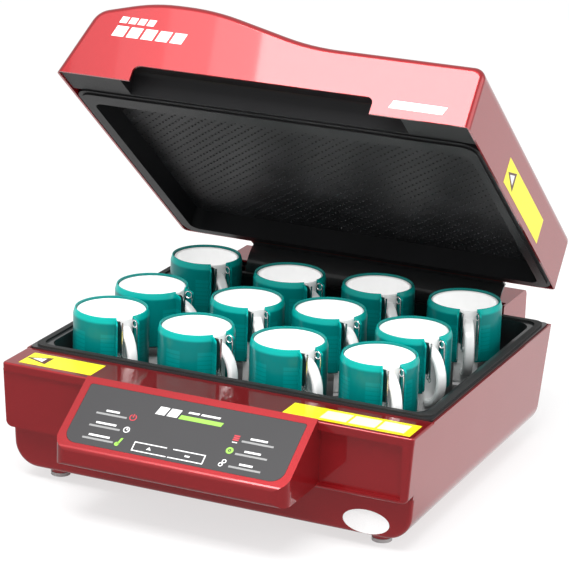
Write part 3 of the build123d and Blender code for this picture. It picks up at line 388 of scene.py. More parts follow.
def black_enamel():
    black = settings("press_paint").black
    finish = Finish("black_enamel", Coat_Weight=0.6, Coat_Roughness=0.08)
    smears = finish.noise(9.0, detail=5.0)
    finish.set("Base Color", finish.mix(smears, shade(black, 0.7), shade(black, 1.6)))
    finish.set("Roughness", 0.22 + smears * 0.22)
    finish.bump(finish.noise(420.0, detail=2.0), 0.03 * MM)
    return finish.material


def lining_black():
    """Satin moulding with a fine leathery grain."""
    black = settings("press_paint").lining
    finish = Finish("lining_black", Specular_IOR_Level=0.32)
    grain = finish.spots(900.0).between(0.0, 0.5)
    smears = finish.noise(12.0)
    finish.set("Base Color", finish.mix(smears, shade(black, 0.8), shade(black, 1.5)))
    finish.set("Roughness", 0.30 + grain * 0.08 + smears * 0.12)
    finish.bump(grain, 0.05 * MM)
    return finish.material


def membrane_rubber():
    rubber = settings("press_paint").rubber
    finish = Finish("membrane_rubber", Specular_IOR_Level=0.36)
    dust = finish.noise(24.0, detail=6.0, rough=0.65)
    finish.set("Base Color", finish.mix(dust.between(0.35, 0.8), rubber, shade(rubber, 2.4)))
    finish.set("Roughness", 0.36 + dust * 0.2)
    finish.bump(finish.noise(1400.0, detail=1.0), 0.04 * MM)
    return finish.material


def black_rubber():
    return grained(
        "black_rubber", 60.0, (0.010, 0.010, 0.010), (0.030, 0.030, 0.030), 0.5, 0.2, 0.06 * MM, detail=5.0
    )


def white_glaze():
    """Glossy white, with a painted glow: an emission lightens the mug's inside, where the lid's shade falls."""
    mug = settings("press_mug")
    finish = Finish("white_glaze", Coat_Weight=0.6, Coat_Roughness=0.03, Emission_Strength=1.0)
    pooled = finish.noise(30.0)
    finish.set("Base Color", finish.mix(pooled, shade(mug.glaze, 0.97), shade(mug.glaze, 1.02)))
    finish.set("Roughness", 0.10 + pooled * 0.08)
    # Painted glow: points inside the mug get an emission, so the shaded inside reads white.
    inside = finish.from_axis() < mug.radius - 1 * MM
    finish.set("Emission Color", inside * mug.glow)
    finish.bump(pooled, 0.10 * MM)
    return finish.material


def teal_silicone():
    """Translucent wrap: a painted highlight along its rim, paler fields in seven columns crossed by darker lines,
    and painted shade on its inner face.
    """
    wrap, mug = settings("press_wrap"), settings("press_mug")
    finish = Finish("teal_silicone", Coat_Weight=0.2, Coat_Roughness=0.08, Specular_IOR_Level=0.15)
    top = mug.height + wrap.over
    fields = 7
    z = finish.along("Z")
    turn = finish.along("Y").apply("ARCTAN2", finish.along("X"))
    # Painted highlight: a band just under the wrap's top is mixed towards the lighter rim colour.
    rim = z.between(top - wrap.lip - 2 * MM, top - wrap.lip + 2 * MM)
    # Painted shade: the wrap's inner face, against the mug, is mixed towards a darker teal.
    inner = finish.from_axis() < mug.radius + wrap.gap + 0.6 * MM
    # Paler fields in seven columns round the wrap, with darker lines across them.
    beside = abs(turn.cell(2 * pi / fields) - 0.5).between(0.22, 0.26)
    beyond = abs(z - (top - 0.55 * wrap.height)).between(0.24 * wrap.height, 0.26 * wrap.height)
    pale_field_mask = (1 - beside) * (1 - beyond)
    lines = abs(z.cell(5.2 * MM) - 0.5).between(0.36, 0.42) * pale_field_mask
    clouds = finish.noise(34.0)
    body = finish.mix(pale_field_mask * 0.4 + clouds * 0.3, wrap.silicone, shade(wrap.silicone, 1.75))
    body = finish.mix(lines * 0.35, body, shade(wrap.silicone, 0.7))
    body = finish.mix(rim * 0.8, body, wrap.rim)
    finish.set("Base Color", finish.mix(inner * 0.5, body, shade(wrap.silicone, 0.6)))
    finish.set("Roughness", 0.24 + clouds * 0.12)
    finish.bump(finish.noise(120.0), 0.12 * MM)
    return finish.material


def brushed_steel():
    finish = Finish("brushed_steel", Metallic=1.0)
    strokes = finish.noise(1.0, detail=4.0, vector=finish.stretched(900.0, 900.0, 40.0))
    stains = finish.noise(40.0)
    finish.set("Base Color", finish.mix(strokes, (0.42, 0.42, 0.43), (0.66, 0.66, 0.67)))
    finish.set("Roughness", 0.20 + strokes * 0.16 + stains * 0.12)
    finish.bump(strokes, 0.02 * MM)
    return finish.material


def cradle_steel():
    """Dull grey sheet, darker where heat has stained it."""
    finish = Finish("cradle_steel", Metallic=0.85)
    stains = finish.noise(26.0, detail=5.0)
    finish.set("Base Color", finish.mix(stains, (0.20, 0.20, 0.205), (0.46, 0.455, 0.45)))
    finish.set("Roughness", 0.30 + stains * 0.22)
    finish.bump(finish.noise(300.0), 0.05 * MM)
    return finish.material


def bright_wire():
    finish = Finish("bright_wire", Metallic=1.0)
    marks = finish.noise(300.0)
    finish.set("Base Color", finish.mix(marks, (0.70, 0.70, 0.71), (0.92, 0.92, 0.92)))
    finish.set("Roughness", 0.08 + marks * 0.14)
    return finish.material


def grey_overlay():
    """Fine-grained printed film over the control panel."""
    grey = settings("press_panel").overlay
    finish = Finish("grey_overlay", Specular_IOR_Level=0.28)
    grain = finish.noise(1500.0, detail=1.0)
    clouds = finish.noise(14.0)
    finish.set("Base Color", finish.mix(clouds * 0.5 + grain * 0.5, shade(grey, 0.9), shade(grey, 1.1)))
    finish.set("Roughness", 0.42 + grain * 0.12)
    finish.bump(grain, 0.02 * MM)
    return finish.material


def print_ink(name, ink):
    """Ink or sticker film with slightly uneven cover."""
    return grained(
        name, 500.0, shade(ink, 0.93), shade(ink, 1.04), 0.34, 0.12, 0.01 * MM,
        Coat_Weight=0.3, Coat_Roughness=0.15,
    )


def black_plastic():
    return grained(
        "black_plastic", 900.0, (0.018, 0.018, 0.018), (0.036, 0.036, 0.037), 0.40, 0.2, 0.05 * MM, detail=2.0
    )


def circuit_board():
    """Green lacquer with copper tracks that run both ways."""
    finish = Finish("circuit_board")
    across = abs(finish.along("X").cell(5.0 * MM) - 0.5).between(0.40, 0.44)
    lengthwise = abs(finish.along("Y").cell(7.0 * MM) - 0.5).between(0.42, 0.46)
    tracks = across + lengthwise
    pads = 1 - finish.spots(160.0).between(0.16, 0.2)
    body = finish.mix(tracks.between(0.2, 0.8) * 0.6, (0.01, 0.09, 0.04), (0.03, 0.20, 0.09))
    finish.set("Base Color", finish.mix(pads, body, (0.60, 0.50, 0.28)))
    finish.set("Roughness", 0.35 + pads * 0.1)
    finish.bump(tracks, 0.04 * MM)
    return finish.material


def foil_aluminium():
    return grained(
        "foil_aluminium", 55.0, (0.72, 0.72, 0.73), (0.88, 0.88, 0.89), 0.14, 0.14, 0.4 * MM, Metallic=1.0
    )


def quartz_glow():
    """Milky quartz tube with its coil showing as bands."""
    finish = Finish("quartz_tube", Coat_Weight=1.0, Coat_Roughness=0.05)
    coil = abs(finish.along("X").cell(4.0 * MM) - 0.5).between(0.2, 0.45)
    finish.set("Base Color", finish.mix(coil, (0.78, 0.72, 0.66), (0.30, 0.16, 0.10)))
    finish.set("Roughness", 0.15 + coil * 0.2)
    return finish.material


def ceramic_fibre():
    return grained(
        "ceramic_fibre", 180.0, (0.62, 0.60, 0.54), (0.88, 0.86, 0.80), 0.85, 0.1, 0.8 * MM,
        detail=6.0, rough=0.7,
    )


def pale_rubber():
    return grained(
        "pale_rubber", 140.0, (0.42, 0.42, 0.42), (0.66, 0.66, 0.66), 0.5, 0.2, 0.1 * MM, detail=5.0
    )


# ---------------------------------------------------------------- meshes

SQUARE = ((-1, -1), (1, -1), (1, 1), (-1, 1))


def turns(count):
    """Angles spread evenly round a whole turn."""
    return [2 * pi * i / count for i in range(count)]


def arc_corners(corners, steps=5):
    """An outline through (x, y, radius) corners, with each corner rounded by steps short runs."""
    points = []
    for i, (x, y, radius) in enumerate(corners):
        here = Vector((x, y))
        if not radius:
            points.append(here)
            continue
        before = (Vector(corners[i - 1][:2]) - here).normalized()
        after = (Vector(corners[(i + 1) % len(corners)][:2]) - here).normalized()
        half = before.angle(after) / 2
        centre = here + (before + after).normalized() * (radius / sin(half))
        start = here + before * (radius / tan(half)) - centre
        sweep = start.angle_signed(here + after * (radius / tan(half)) - centre)
        for step in range(steps + 1):
            points.append(centre + Matrix.Rotation(-sweep * step / steps, 2) @ start)
    return points


def skin(rings, loop=False):
    """A solid through closed rings of points. A loop joins the last ring to the first."""
    made = bmesh.new()
    rows = [[made.verts.new(point) for point in ring] for ring in rings]
    pairs = list(zip(rows, rows[1:]))
    if loop:
        pairs.append((rows[-1], rows[0]))
    else:
        made.faces.new(rows[0])
        made.faces.new(list(reversed(rows[-1])))
    for first, second in pairs:
        for i in range(len(first)):
            j = (i + 1) % len(first)
            made.faces.new((first[i], first[j], second[j], second[i]))
    bmesh.ops.remove_doubles(made, verts=made.verts, dist=0.001 * MM)
    return made


def finished_mesh(name, made, smooth=35.0):
    """The mesh of what was made, shaded smooth except over sharper edges than smooth degrees."""
    bmesh.ops.recalc_face_normals(made, faces=made.faces)
    mesh = bpy.data.meshes.new(name)
    made.to_mesh(mesh)
    made.free()
    mesh.shade_smooth()
    mesh.set_sharp_from_angle(angle=radians(smooth))
    return mesh


def merge(*made):
    """Several separate solids as one."""
    whole = bmesh.new()
    for part in made:
        mesh = bpy.data.meshes.new("part")
        part.to_mesh(mesh)
        part.free()
        whole.from_mesh(mesh)
        bpy.data.meshes.remove(mesh)
    return whole


def moved(made, matrix):
    bmesh.ops.transform(made, matrix=matrix, verts=made.verts)
    return made


def turned(section, start, end, steps):
    """A section of (radius, height) points turned about Z; a whole turn closes on itself."""
    whole = abs(end - start) > 2 * pi - 0.001
    count = steps if whole else steps + 1
    rings = []
    for i in range(count):
        turn = start + (end - start) * i / steps
        rings.append([(r * cos(turn), r * sin(turn), z) for r, z in section])
    return skin(rings, loop=whole)


def plate(outline, low, high):
    """A flat outline made solid from low to high."""
    return skin([[(x, y, z) for x, y in outline] for z in (low, high)])


def place(name, mesh, material, body, slot, matrix, replaces=()):
    """Sets a mesh down as a piece of a body, with its finish, and hides the nodes that it stands for."""
    piece = bpy.data.objects.new(name, mesh)
    bpy.context.scene.collection.objects.link(piece)
    piece.matrix_world = matrix
    if not mesh.materials:
        mesh.materials.append(material)
    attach(piece, body)
    if replaces:
        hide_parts(*replaces)
    return piece


def coat(material, *nodes):
    """Gives frame nodes their finish."""
    for node in nodes:
        mesh = frame["nodes"][node].data
        mesh.materials.clear()
        mesh.materials.append(material)


def wire_mesh(points, radius, loop=False, sides=10):
    """A round wire through points, with its section kept square to its run."""
    points = [Vector(point) for point in points]
    last = len(points) - 1
    rings = []
    normal = None
    for i, point in enumerate(points):
        before = points[i - 1] if loop or i else point
        after = points[(i + 1) % len(points)] if loop or i < last else point
        run = (after - before).normalized()
        if normal is None:
            normal = run.orthogonal().normalized()
        normal = (normal - run * normal.dot(run)).normalized()
        side = run.cross(normal)
        rings.append([point + radius * (cos(turn) * normal + sin(turn) * side) for turn in turns(sides)])
    return skin(rings, loop=loop)


# ---------------------------------------------------------------- marks

def facing(origin, out, right):
    """Matrix of a flat face at origin, with X to the right along it and Z out of it."""
    out, right = Vector(out), Vector(right)
    axes = Matrix((right, out.cross(right), out)).transposed()
    return Matrix.Translation(origin) @ axes.to_4x4()


def sloping_face(node):
    """Matrix at the middle of a sloping plate's upper face."""
    mesh = frame["nodes"][node].data
    upper = [face for face in mesh.polygons if face.normal.z > 0]
    out = max(upper, key=lambda face: face.area).normal
    low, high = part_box(node)
    middle = (low + high) / 2
    rise = max(vertex.co.dot(out) for vertex in mesh.vertices) - middle.dot(out)
    return facing(middle + out * rise, out, (1, 0, 0))


def bar(x, y, wide, tall, lean=0.0):
    """Outline of a bar in millimetres, with its middle at (x, y) and its top leaning to the right."""
    return [(x + (side * wide + up * lean) / 2, y + up * tall / 2) for side, up in SQUARE]


def oval(x, y, wide, tall):
    return [(x + wide / 2 * cos(turn), y + tall / 2 * sin(turn)) for turn in turns(40)]


class Print:
    """Thin marks in several inks on one flat face, given in millimetres from the face's origin."""

    def __init__(self, name, face, body):
        self.name, self.face, self.body = name, face, body
        self.layer = settings("press_panel").print_high
        self.marks = {}

    def add(self, ink, *outlines, layer=0):
        """Flat marks, laid over as many earlier layers as layer says."""
        for outline in outlines:
            points = [(x * MM, y * MM) for x, y in outline]
            mark = plate(points, layer * self.layer, (layer + 1) * self.layer)
            self.marks.setdefault(ink, []).append(mark)

    def hoop(self, ink, x, y, radius, line, start=0.0, end=2 * pi):
        """A ring of a given line width, or the part of it between two angles."""
        inner, outer, high = (radius - line) * MM, radius * MM, self.layer
        hoop = turned([(inner, 0.0), (outer, 0.0), (outer, high), (inner, high)], start, end, 28)
        self.marks.setdefault(ink, []).append(moved(hoop, Matrix.Translation((x * MM, y * MM, 0.0))))

    def stick(self):
        """Makes one piece of the marks of each ink."""
        for ink, marks in self.marks.items():
            name = self.name + "_" + ink
            finish = print_ink(name, getattr(settings("press_panel"), ink))
            place(name, finished_mesh(name, merge(*marks)), finish, self.body, None, self.face)


# ---------------------------------------------------------------- operators

def mug_place(name):
    """Matrix of a mug's foot, with X along its handle, worked out from the frame's openings."""
    centre = sum(OPENINGS["mug_" + name], Vector()) / 2
    handle = sum(OPENINGS["handle_" + name], Vector()) / 2 - centre
    foot = Vector((centre.x, centre.y, settings("press_mug").seat))
    return Matrix.Translation(foot) @ Matrix.Rotation(atan2(handle.y, handle.x), 4, "Z")


def set_down(*kinds):
    """Sets one piece of each kind at every mug. A kind is its name, mesh, finish, slot and frame node."""
    for name in MUG_NAMES:
        for kind, mesh, material, slot, node in kinds:
            place(kind + "_" + name, mesh, material, "casing", slot, mug_place(name), [node])


class PRESS_OT_casing(bpy.types.Operator):
    """Finish the casing, its rear fittings and what it holds inside"""
    bl_idname = "press.casing"
    bl_label = "Casing"

    def execute(self, context):
        red = pearl_red()
        coat(
            red, "side_panel_left", "side_panel_right", "bottom_pan", "rear_panel", "plinth_front",
            "front_shell", "top_deck", "control_bezel", "rear_housing", "lid_shell", "foot_stems",
        )
        coat(black_enamel(), "chamber_tray", "hinge_cowl")
        coat(black_rubber(), "tray_gasket", "vacuum_hose")
        coat(pale_rubber(), "foot_pads")
        coat(
            brushed_steel(), "tray_supports", "hinge_rod", "hinge_ears", "friction_cartridges",
            "fan_grille", "vacuum_pump", "hinge_arms", "lid_probe", "membrane_clamps",
        )
        coat(
            black_plastic(), "fan_frame", "fan_rotor", "power_inlet", "switch_frame", "power_switch",
            "fuse_holder",
        )
        coat(circuit_board(), "control_board", "power_board")
        return {"FINISHED"}


class PRESS_OT_mugs(bpy.types.Operator):
    """Make the twelve mugs with their handles"""
    bl_idname = "press.mugs"
    bl_label = "Mugs"

    def body(self, mug):
        """The mug's wall as a turned section, with a rolled rim and a foot ring."""
        inner = mug.radius - mug.wall
        foot = mug.radius - 5 * MM
        ring_wide, ring_high = 4 * MM, 1.2 * MM
        heel, rim, well = 6 * MM, 1.6 * MM, 9 * MM
        section = arc_corners([
            (0.0, ring_high, 0), (foot - ring_wide - 1 * MM, ring_high, 0), (foot - ring_wide, 0.0, 0),
            (foot, 0.0, 1 * MM), (mug.radius, heel, heel), (mug.radius, mug.height, rim),
            (inner, mug.height, rim), (inner, mug.floor, well), (0.0, mug.floor, 0),
        ])
        return turned(section, 0.0, 2 * pi, 72)

    def handle(self, mug):
        """A C-shaped band with rounded edges that widens into the wall at both ends."""
        steps = 36
        edge = 3 * MM
        root = mug.radius - mug.wall / 2
        reach, rise = mug.reach - mug.band / 2, mug.rise - mug.band / 2
        rings = []
        for i in range(steps + 1):
            turn = -pi / 2 + pi * i / steps
            near_wall = (1 - cos(turn)) ** 3
            thick = mug.band * (1 + 0.15 * near_wall) / 2
            wide = mug.width * (1 + 0.22 * near_wall) / 2
            centre = Vector((root + reach * cos(turn), 0, mug.middle + rise * sin(turn)))
            out = Vector((rise * cos(turn), 0, reach * sin(turn))).normalized()
            section = arc_corners([(side * thick, up * wide, edge) for side, up in SQUARE], steps=4)
            rings.append([centre + out * p.x + Vector((0, p.y, 0)) for p in section])
        return skin(rings)

    def execute(self, context):
        mug = settings("press_mug")
        mesh = finished_mesh("mug", merge(self.body(mug), self.handle(mug)))
        set_down(("mug", mesh, white_glaze(), "white_glaze", "mugs"))
        return {"FINISHED"}


class PRESS_OT_wraps(bpy.types.Operator):
    """Make the silicone wraps and their spring clasps"""
    bl_idname = "press.wraps"
    bl_label = "Wraps and clasps"

    def wrap(self, mug, wrap):
        """A band open at the handle, with a rolled rim and both ends turned out."""
        inner = mug.radius + wrap.gap
        outer = inner + wrap.thick
        end = outer + wrap.flap
        top = mug.height + wrap.over
        low = top - wrap.height
        section = arc_corners([
            (inner, low, 0.8 * MM), (outer, low, 1.2 * MM), (outer, top - wrap.lip, 4 * MM),
            (inner + wrap.brim, top, 0.9 * MM), (inner, top, 0.4 * MM),
        ])
        edge = arc_corners([
            (inner + 1 * MM, low + 1 * MM, 2 * MM), (end, low + 6 * MM, 5 * MM),
            (end, top - 5 * MM, 4 * MM), (inner + 1 * MM, top - 1.5 * MM, 1.5 * MM),
        ])
        half = wrap.opening / 2
        parts = [turned(section, half, 2 * pi - half, 84)]
        for side, faces in ((-1, (-wrap.flap_thick, 0.0)), (1, (0.0, wrap.flap_thick))):
            flap = skin([[(x, y, z) for x, z in edge] for y in faces])
            parts.append(moved(flap, Matrix.Rotation(side * half, 4, "Z")))
        return finished_mesh("wrap", merge(*parts))

    def at_plate(self, mug, wrap):
        """Turns what is drawn along X to the flap, and then about the flap's root by the plate's lean."""
        root = Matrix.Translation((mug.radius + wrap.gap, 0, 0))
        flap = Matrix.Rotation(-wrap.opening / 2, 4, "Z")
        return flap @ root @ Matrix.Rotation(wrap.lean, 4, "Z") @ root.inverted()

    def clasp(self, mug, wrap):
        """The bulged steel plate on one flap, narrowed towards its two ends."""
        steps, columns = 14, 8
        narrowest, bulge, thick = 0.72, 1.44 * MM, 1.0 * MM
        start = mug.radius + wrap.gap + 0.5 * MM
        low = mug.height + wrap.over - 4 * MM - wrap.plate
        rings = []
        for i in range(steps + 1):
            from_end = min(1.0, 4 * min(i, steps - i) / steps)
            reach = wrap.plate_reach * (narrowest + (1 - narrowest) * from_end ** 0.5)
            height = low + wrap.plate * i / steps
            shares = [k / columns for k in range(columns + 1)]
            face = [(start + reach * share, bulge * sin(pi * share), height) for share in shares]
            rings.append(face + [(x, y + thick, z) for x, y, z in reversed(face)])
        return finished_mesh("clasp", moved(skin(rings), self.at_plate(mug, wrap)))

    def wires(self, mug, wrap):
        """The rod beside the plate, the sprung hook under it, and the eye on the other flap."""
        rod, off = wrap.wire / 2, 0.8 * MM
        x = mug.radius + wrap.gap + wrap.plate_reach + 1.2 * MM
        top = mug.height + wrap.over - 3 * MM
        low = top - wrap.plate - 3 * MM
        straight = wire_mesh([(x, off, low), (x, off, top)], rod * 0.9)
        coil, points = 3.2 * MM, 22
        hook = []
        for i in range(points):
            turn = 3.2 * pi * i / (points - 1)
            height = low - coil * sin(turn) - 0.2 * MM * i
            hook.append((x - coil + coil * cos(turn), off + 0.12 * MM * i, height))
        hook = wire_mesh(hook, rod * 0.5, sides=8)
        near = moved(merge(straight, hook), self.at_plate(mug, wrap))
        middle = mug.radius + wrap.gap + wrap.thick + 2 * MM
        eye_z = top - 5 * MM
        circle = [
            (middle + wrap.eye * cos(turn), -off, eye_z + wrap.eye * sin(turn)) for turn in turns(20)
        ]
        side = middle + wrap.eye
        tail = [
            (side, -off, eye_z + 1.5 * MM), (side + 0.5 * MM, -off, eye_z - 4 * MM),
            (side + 0.5 * MM, -off, low + 4 * MM),
        ]
        eye = merge(wire_mesh(circle, rod * 0.7, loop=True), wire_mesh(tail, rod * 0.7))
        far = moved(eye, Matrix.Rotation(wrap.opening / 2, 4, "Z"))
        return finished_mesh("clasp_wire", merge(near, far))

    def execute(self, context):
        mug, wrap = settings("press_mug"), settings("press_wrap")
        set_down(
            ("wrap", self.wrap(mug, wrap), teal_silicone(), "teal_silicone", "mug_wraps"),
            ("clasp", self.clasp(mug, wrap), brushed_steel(), "steel", "clasp_plates"),
            ("clasp_wire", self.wires(mug, wrap), bright_wire(), "bright_wire", "clasp_wires"),
        )
        return {"FINISHED"}


class PRESS_OT_cradles(bpy.types.Operator):
    """Make the windowed steel rings that hold the mugs"""
    bl_idname = "press.cradles"
    bl_label = "Cradles"

    def execute(self, context):
        mug, cradle = settings("press_mug"), settings("press_cradle")
        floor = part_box("mug_cradles")[0].z - mug.seat
        inner = mug.radius + cradle.clearance
        outer = inner + cradle.wall
        top = floor + cradle.height
        start, end = cradle.gap / 2, 2 * pi - cradle.gap / 2
        round_edge = 0.7 * MM
        overlap = 0.5 * MM
        ring_steps, strut_steps = 64, 8

        def band(low, high, start, end, steps):
            corners = [(inner, low), (outer, low), (outer, high), (inner, high)]
            return turned(arc_corners([(r, z, round_edge) for r, z in corners], 2), start, end, steps)

        window_top = top - cradle.sill
        window_low = window_top - cradle.window
        bands = [
            band(floor, window_low, start, end, ring_steps), band(window_top, top, start, end, ring_steps),
        ]
        step = (2 * pi - cradle.gap) / cradle.windows
        for i in range(cradle.windows + 1):
            left = max(start, start + (i - 0.2) * step)
            right = min(end, start + (i + 0.2) * step)
            bands.append(band(window_low - overlap, window_top + overlap, left, right, strut_steps))
        ledge_in, ledge_out = inner - cradle.ledge, inner + overlap
        ledge = arc_corners([
            (ledge_in, -cradle.ledge_thick, 1 * MM), (ledge_out, -cradle.ledge_thick, 0),
            (ledge_out, 0, 0), (ledge_in, 0, 1 * MM),
        ], 2)
        bands.append(turned(ledge, start, end, ring_steps))
        set_down(("cradle", finished_mesh("cradle", merge(*bands)), cradle_steel(), "steel", "mug_cradles"))
        return {"FINISHED"}


class PRESS_OT_lid(bpy.types.Operator):
    """Finish the lid's linings and make its pimpled membrane"""
    bl_idname = "press.lid"
    bl_label = "Lid and membrane"

    def sheet(self, lid, low, high):
        """The stretched sheet, with a rounded outline and its pimples underneath."""
        outline = arc_corners([
            (low.x, low.y, lid.corner), (high.x, low.y, lid.corner),
            (high.x, high.y, lid.corner), (low.x, high.y, lid.corner),
        ], 8)
        body = plate(outline, low.z, high.z)
        margin = 9 * MM
        rows = int((high.y - low.y - 2 * margin) / lid.row)
        for row in range(rows + 1):
            shift = lid.pitch / 2 if row % 2 else 0.0
            columns = int((high.x - low.x - 2 * margin - shift) / lid.pitch)
            for column in range(columns + 1):
                x = low.x + margin + shift + column * lid.pitch
                self.pimple(body, lid.pimple, x, low.y + margin + row * lid.row, low.z)
        return finished_mesh("membrane_sheet", body, smooth=50.0)

    def pimple(self, body, radius, x, y, z):
        """A small flattened dome that hangs from (x, y, z)."""
        rings = []
        for share in (0.0, 0.5, 0.85):
            size = radius * cos(share * pi / 2)
            drop = 0.7 * radius * sin(share * pi / 2)
            rings.append([
                body.verts.new((x + size * cos(turn), y + size * sin(turn), z - drop)) for turn in turns(8)
            ])
        for first, second in zip(rings, rings[1:]):
            for i in range(8):
                body.faces.new((first[i], first[i - 1], second[i - 1], second[i]))
        body.faces.new(rings[-1])
        body.faces.new(list(reversed(rings[0])))

    def execute(self, context):
        lid = settings("press_lid")
        coat(lining_black(), "lid_liner", "membrane_frame")
        coat(foil_aluminium(), "reflector")
        coat(quartz_glow(), "heater_tubes")
        coat(ceramic_fibre(), "insulation")
        low, high = shut_box("membrane")
        mesh = self.sheet(lid, low, high)
        piece = place("membrane_sheet", mesh, membrane_rubber(), "lid", "membrane", LID_SWING, ["membrane"])
        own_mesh(piece)
        return {"FINISHED"}


class PRESS_OT_controls(bpy.types.Operator):
    """Finish the control panel and print its plain marks"""
    bl_idname = "press.controls"
    bl_label = "Controls"

    def icons(self, sheet, x, top, pitch):
        """Power, clock and thermometer, one to a row, drawn in millimetres."""
        sheet.hoop("red", x, top, 4.4, 1.2, radians(120), radians(420))
        sheet.add("red", bar(x, top + 2.4, 1.2, 4.8))
        sheet.hoop("white", x - 0.5, top - pitch, 4.0, 1.2)
        sheet.add("white", bar(x - 0.5, top - pitch + 1.0, 0.9, 3.0), bar(x + 0.5, top - pitch, 2.4, 0.9))
        low = top - 2 * pitch
        sheet.add("green", bar(x - 1.5, low + 1.5, 2.6, 8.0, 2.4), oval(x - 4.0, low - 3.2, 5.4, 5.4))

    def heat_icons(self, sheet, x, top, pitch):
        """Heater, fan and vacuum, one to a row, drawn in millimetres."""
        for step in range(3):
            sheet.add("red", bar(x, top - 2.7 + 2.7 * step, 7.0, 1.9))
        sheet.add("white", bar(x, top - 6.0, 6.0, 1.2))
        sheet.hoop("green", x - 1.2, top - pitch, 4.4, 2.5)
        sheet.add("green", bar(x - 1.2, top - pitch, 1.4, 1.4))
        for step in (-1, 1):
            sheet.hoop("white", x - 2.9 + 1.3 * step, top - 2 * pitch + 2.4 * step, 2.7, 1.1)

    def key(self, sheet, left, right, low, high, line):
        """Outline of the wide key, broken at the middle, with a small mark at each end."""
        middle = (left + right) / 2
        for y, broken in ((low, 1.6), (high, 4.5)):
            for start, end in ((left, middle - broken), (middle + broken, right)):
                sheet.add("white", bar((start + end) / 2, y, end - start + line, line))
        for x in (left, right):
            sheet.add("white", bar(x, (low + high) / 2, line, high - low))
        sheet.add("white", [(left + 16, low + 4), (left + 22, low + 4), (left + 19, low + 8)])
        sheet.add("white", bar(right - 20, (low + high) / 2, 6.0, 2.2))

    def execute(self, context):
        panel = settings("press_panel")
        coat(grey_overlay(), "control_face")
        sheet = Print("panel_print", sloping_face("control_face"), "casing")
        pitch, tall = panel.row_pitch / MM, panel.bar_tall / MM
        for middle, top, words in ((-91.0, 3.6, (16.5, 25.0, 26.0)), (88.5, 2.6, (20.5, 19.5, 16.0))):
            for row, word in enumerate(words):
                sheet.add("grey", bar(middle - row, top - row * pitch, 38.0, tall))
                sheet.add("white", bar(middle - row, top - row * pitch + 4.9, word, tall))
        self.icons(sheet, -65.0, 6.0, pitch)
        self.heat_icons(sheet, 62.0, 5.4, pitch)
        sheet.add("white", bar(-35.0, 21.8, 11.5, 11.0, 3.0), bar(-20.5, 21.8, 12.5, 11.0, 3.0))
        sheet.add("white", bar(2.0, 26.2, 13.0, tall, 1.0), bar(22.5, 26.2, 23.0, tall, 1.0))
        sheet.add("green", bar(13.5, 18.4, 52.0, 5.6, 1.8))
        self.key(sheet, -48.8, 37.0, -35.8, -24.5, panel.line / MM)
        sheet.stick()
        return {"FINISHED"}


class PRESS_OT_labels(bpy.types.Operator):
    """Stick on the blank labels and the lid's plain white blocks"""
    bl_idname = "press.labels"
    bl_label = "Labels"

    def sign(self, sheet, x, size):
        """A plain warning triangle lying on its side."""
        for ink, share, layer in (("dark", 1.0, 1), ("white", 0.55, 2)):
            tip, foot, tall = x - 0.62 * size * share, x + 0.496 * size * share, 0.44 * size * share
            sheet.add(ink, [(tip, 0), (foot, -tall), (foot, tall)], layer=layer)

    def deck(self):
        """A warning plate left of the control panel, and a longer one with three pale fields on its right."""
        low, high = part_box("top_deck")
        middle = (low.x + 64 * MM, low.y + 27.5 * MM, high.z)
        left = Print("label_left", facing(middle, (0, 0, 1), (1, 0, 0)), "casing")
        left.add("yellow", bar(0, 0, 93, 37))
        self.sign(left, -30, 26)
        left.stick()
        middle = (high.x - 82.5 * MM, low.y + 23.5 * MM, high.z)
        right = Print("label_right", facing(middle, (0, 0, 1), (1, 0, 0)), "casing")
        right.add("yellow", bar(0, 0, 151, 36))
        for step in range(3):
            right.add("pale", bar(-17.5 + 34 * step, 0, 31, 24), layer=1)
        right.stick()

    def plinth(self):
        """A blank oval sticker low on the right."""
        low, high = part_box("plinth_front")
        middle = (high.x - 53.6 * MM, low.y, low.z + 16 * MM)
        sticker = Print("sticker", facing(middle, (0, -1, 0), (1, 0, 0)), "casing")
        sticker.add("white", oval(0, 0, 55.4, 27.8))
        sticker.stick()

    def lid(self):
        """Two rows of plain blocks and a bar on the lid's front, and a warning plate on its right side."""
        lid = settings("press_lid")
        low, high = shut_box("lid_shell")
        title = Print("lid_blocks", LID_SWING @ facing((0, low.y, low.z), (0, -1, 0), (1, 0, 0)), "lid")
        foot, tall = lid.block_low / MM, lid.block_tall / MM
        for step in range(5):
            title.add("white", bar(-189.5 + 18.6 * step, foot + tall / 2, 15.0, tall, 4.0))
        for step in range(4):
            title.add("white", bar(-189.0 + 11.6 * step, foot + 1.6 * tall, 9.0, 0.6 * tall, 2.4))
        title.add("white", bar(190.0, 15.0, 63.0, 9.5, 4.0))
        title.stick()
        middle = (high.x, high.y - 203 * MM, low.z + 24 * MM)
        label = Print("lid_label", LID_SWING @ facing(middle, (1, 0, 0), (0, 1, 0)), "lid")
        label.add("yellow", bar(0, 0, 168, 31))
        self.sign(label, -62, 26)
        label.stick()

    def execute(self, context):
        self.deck()
        self.plinth()
        self.lid()
        return {"FINISHED"}


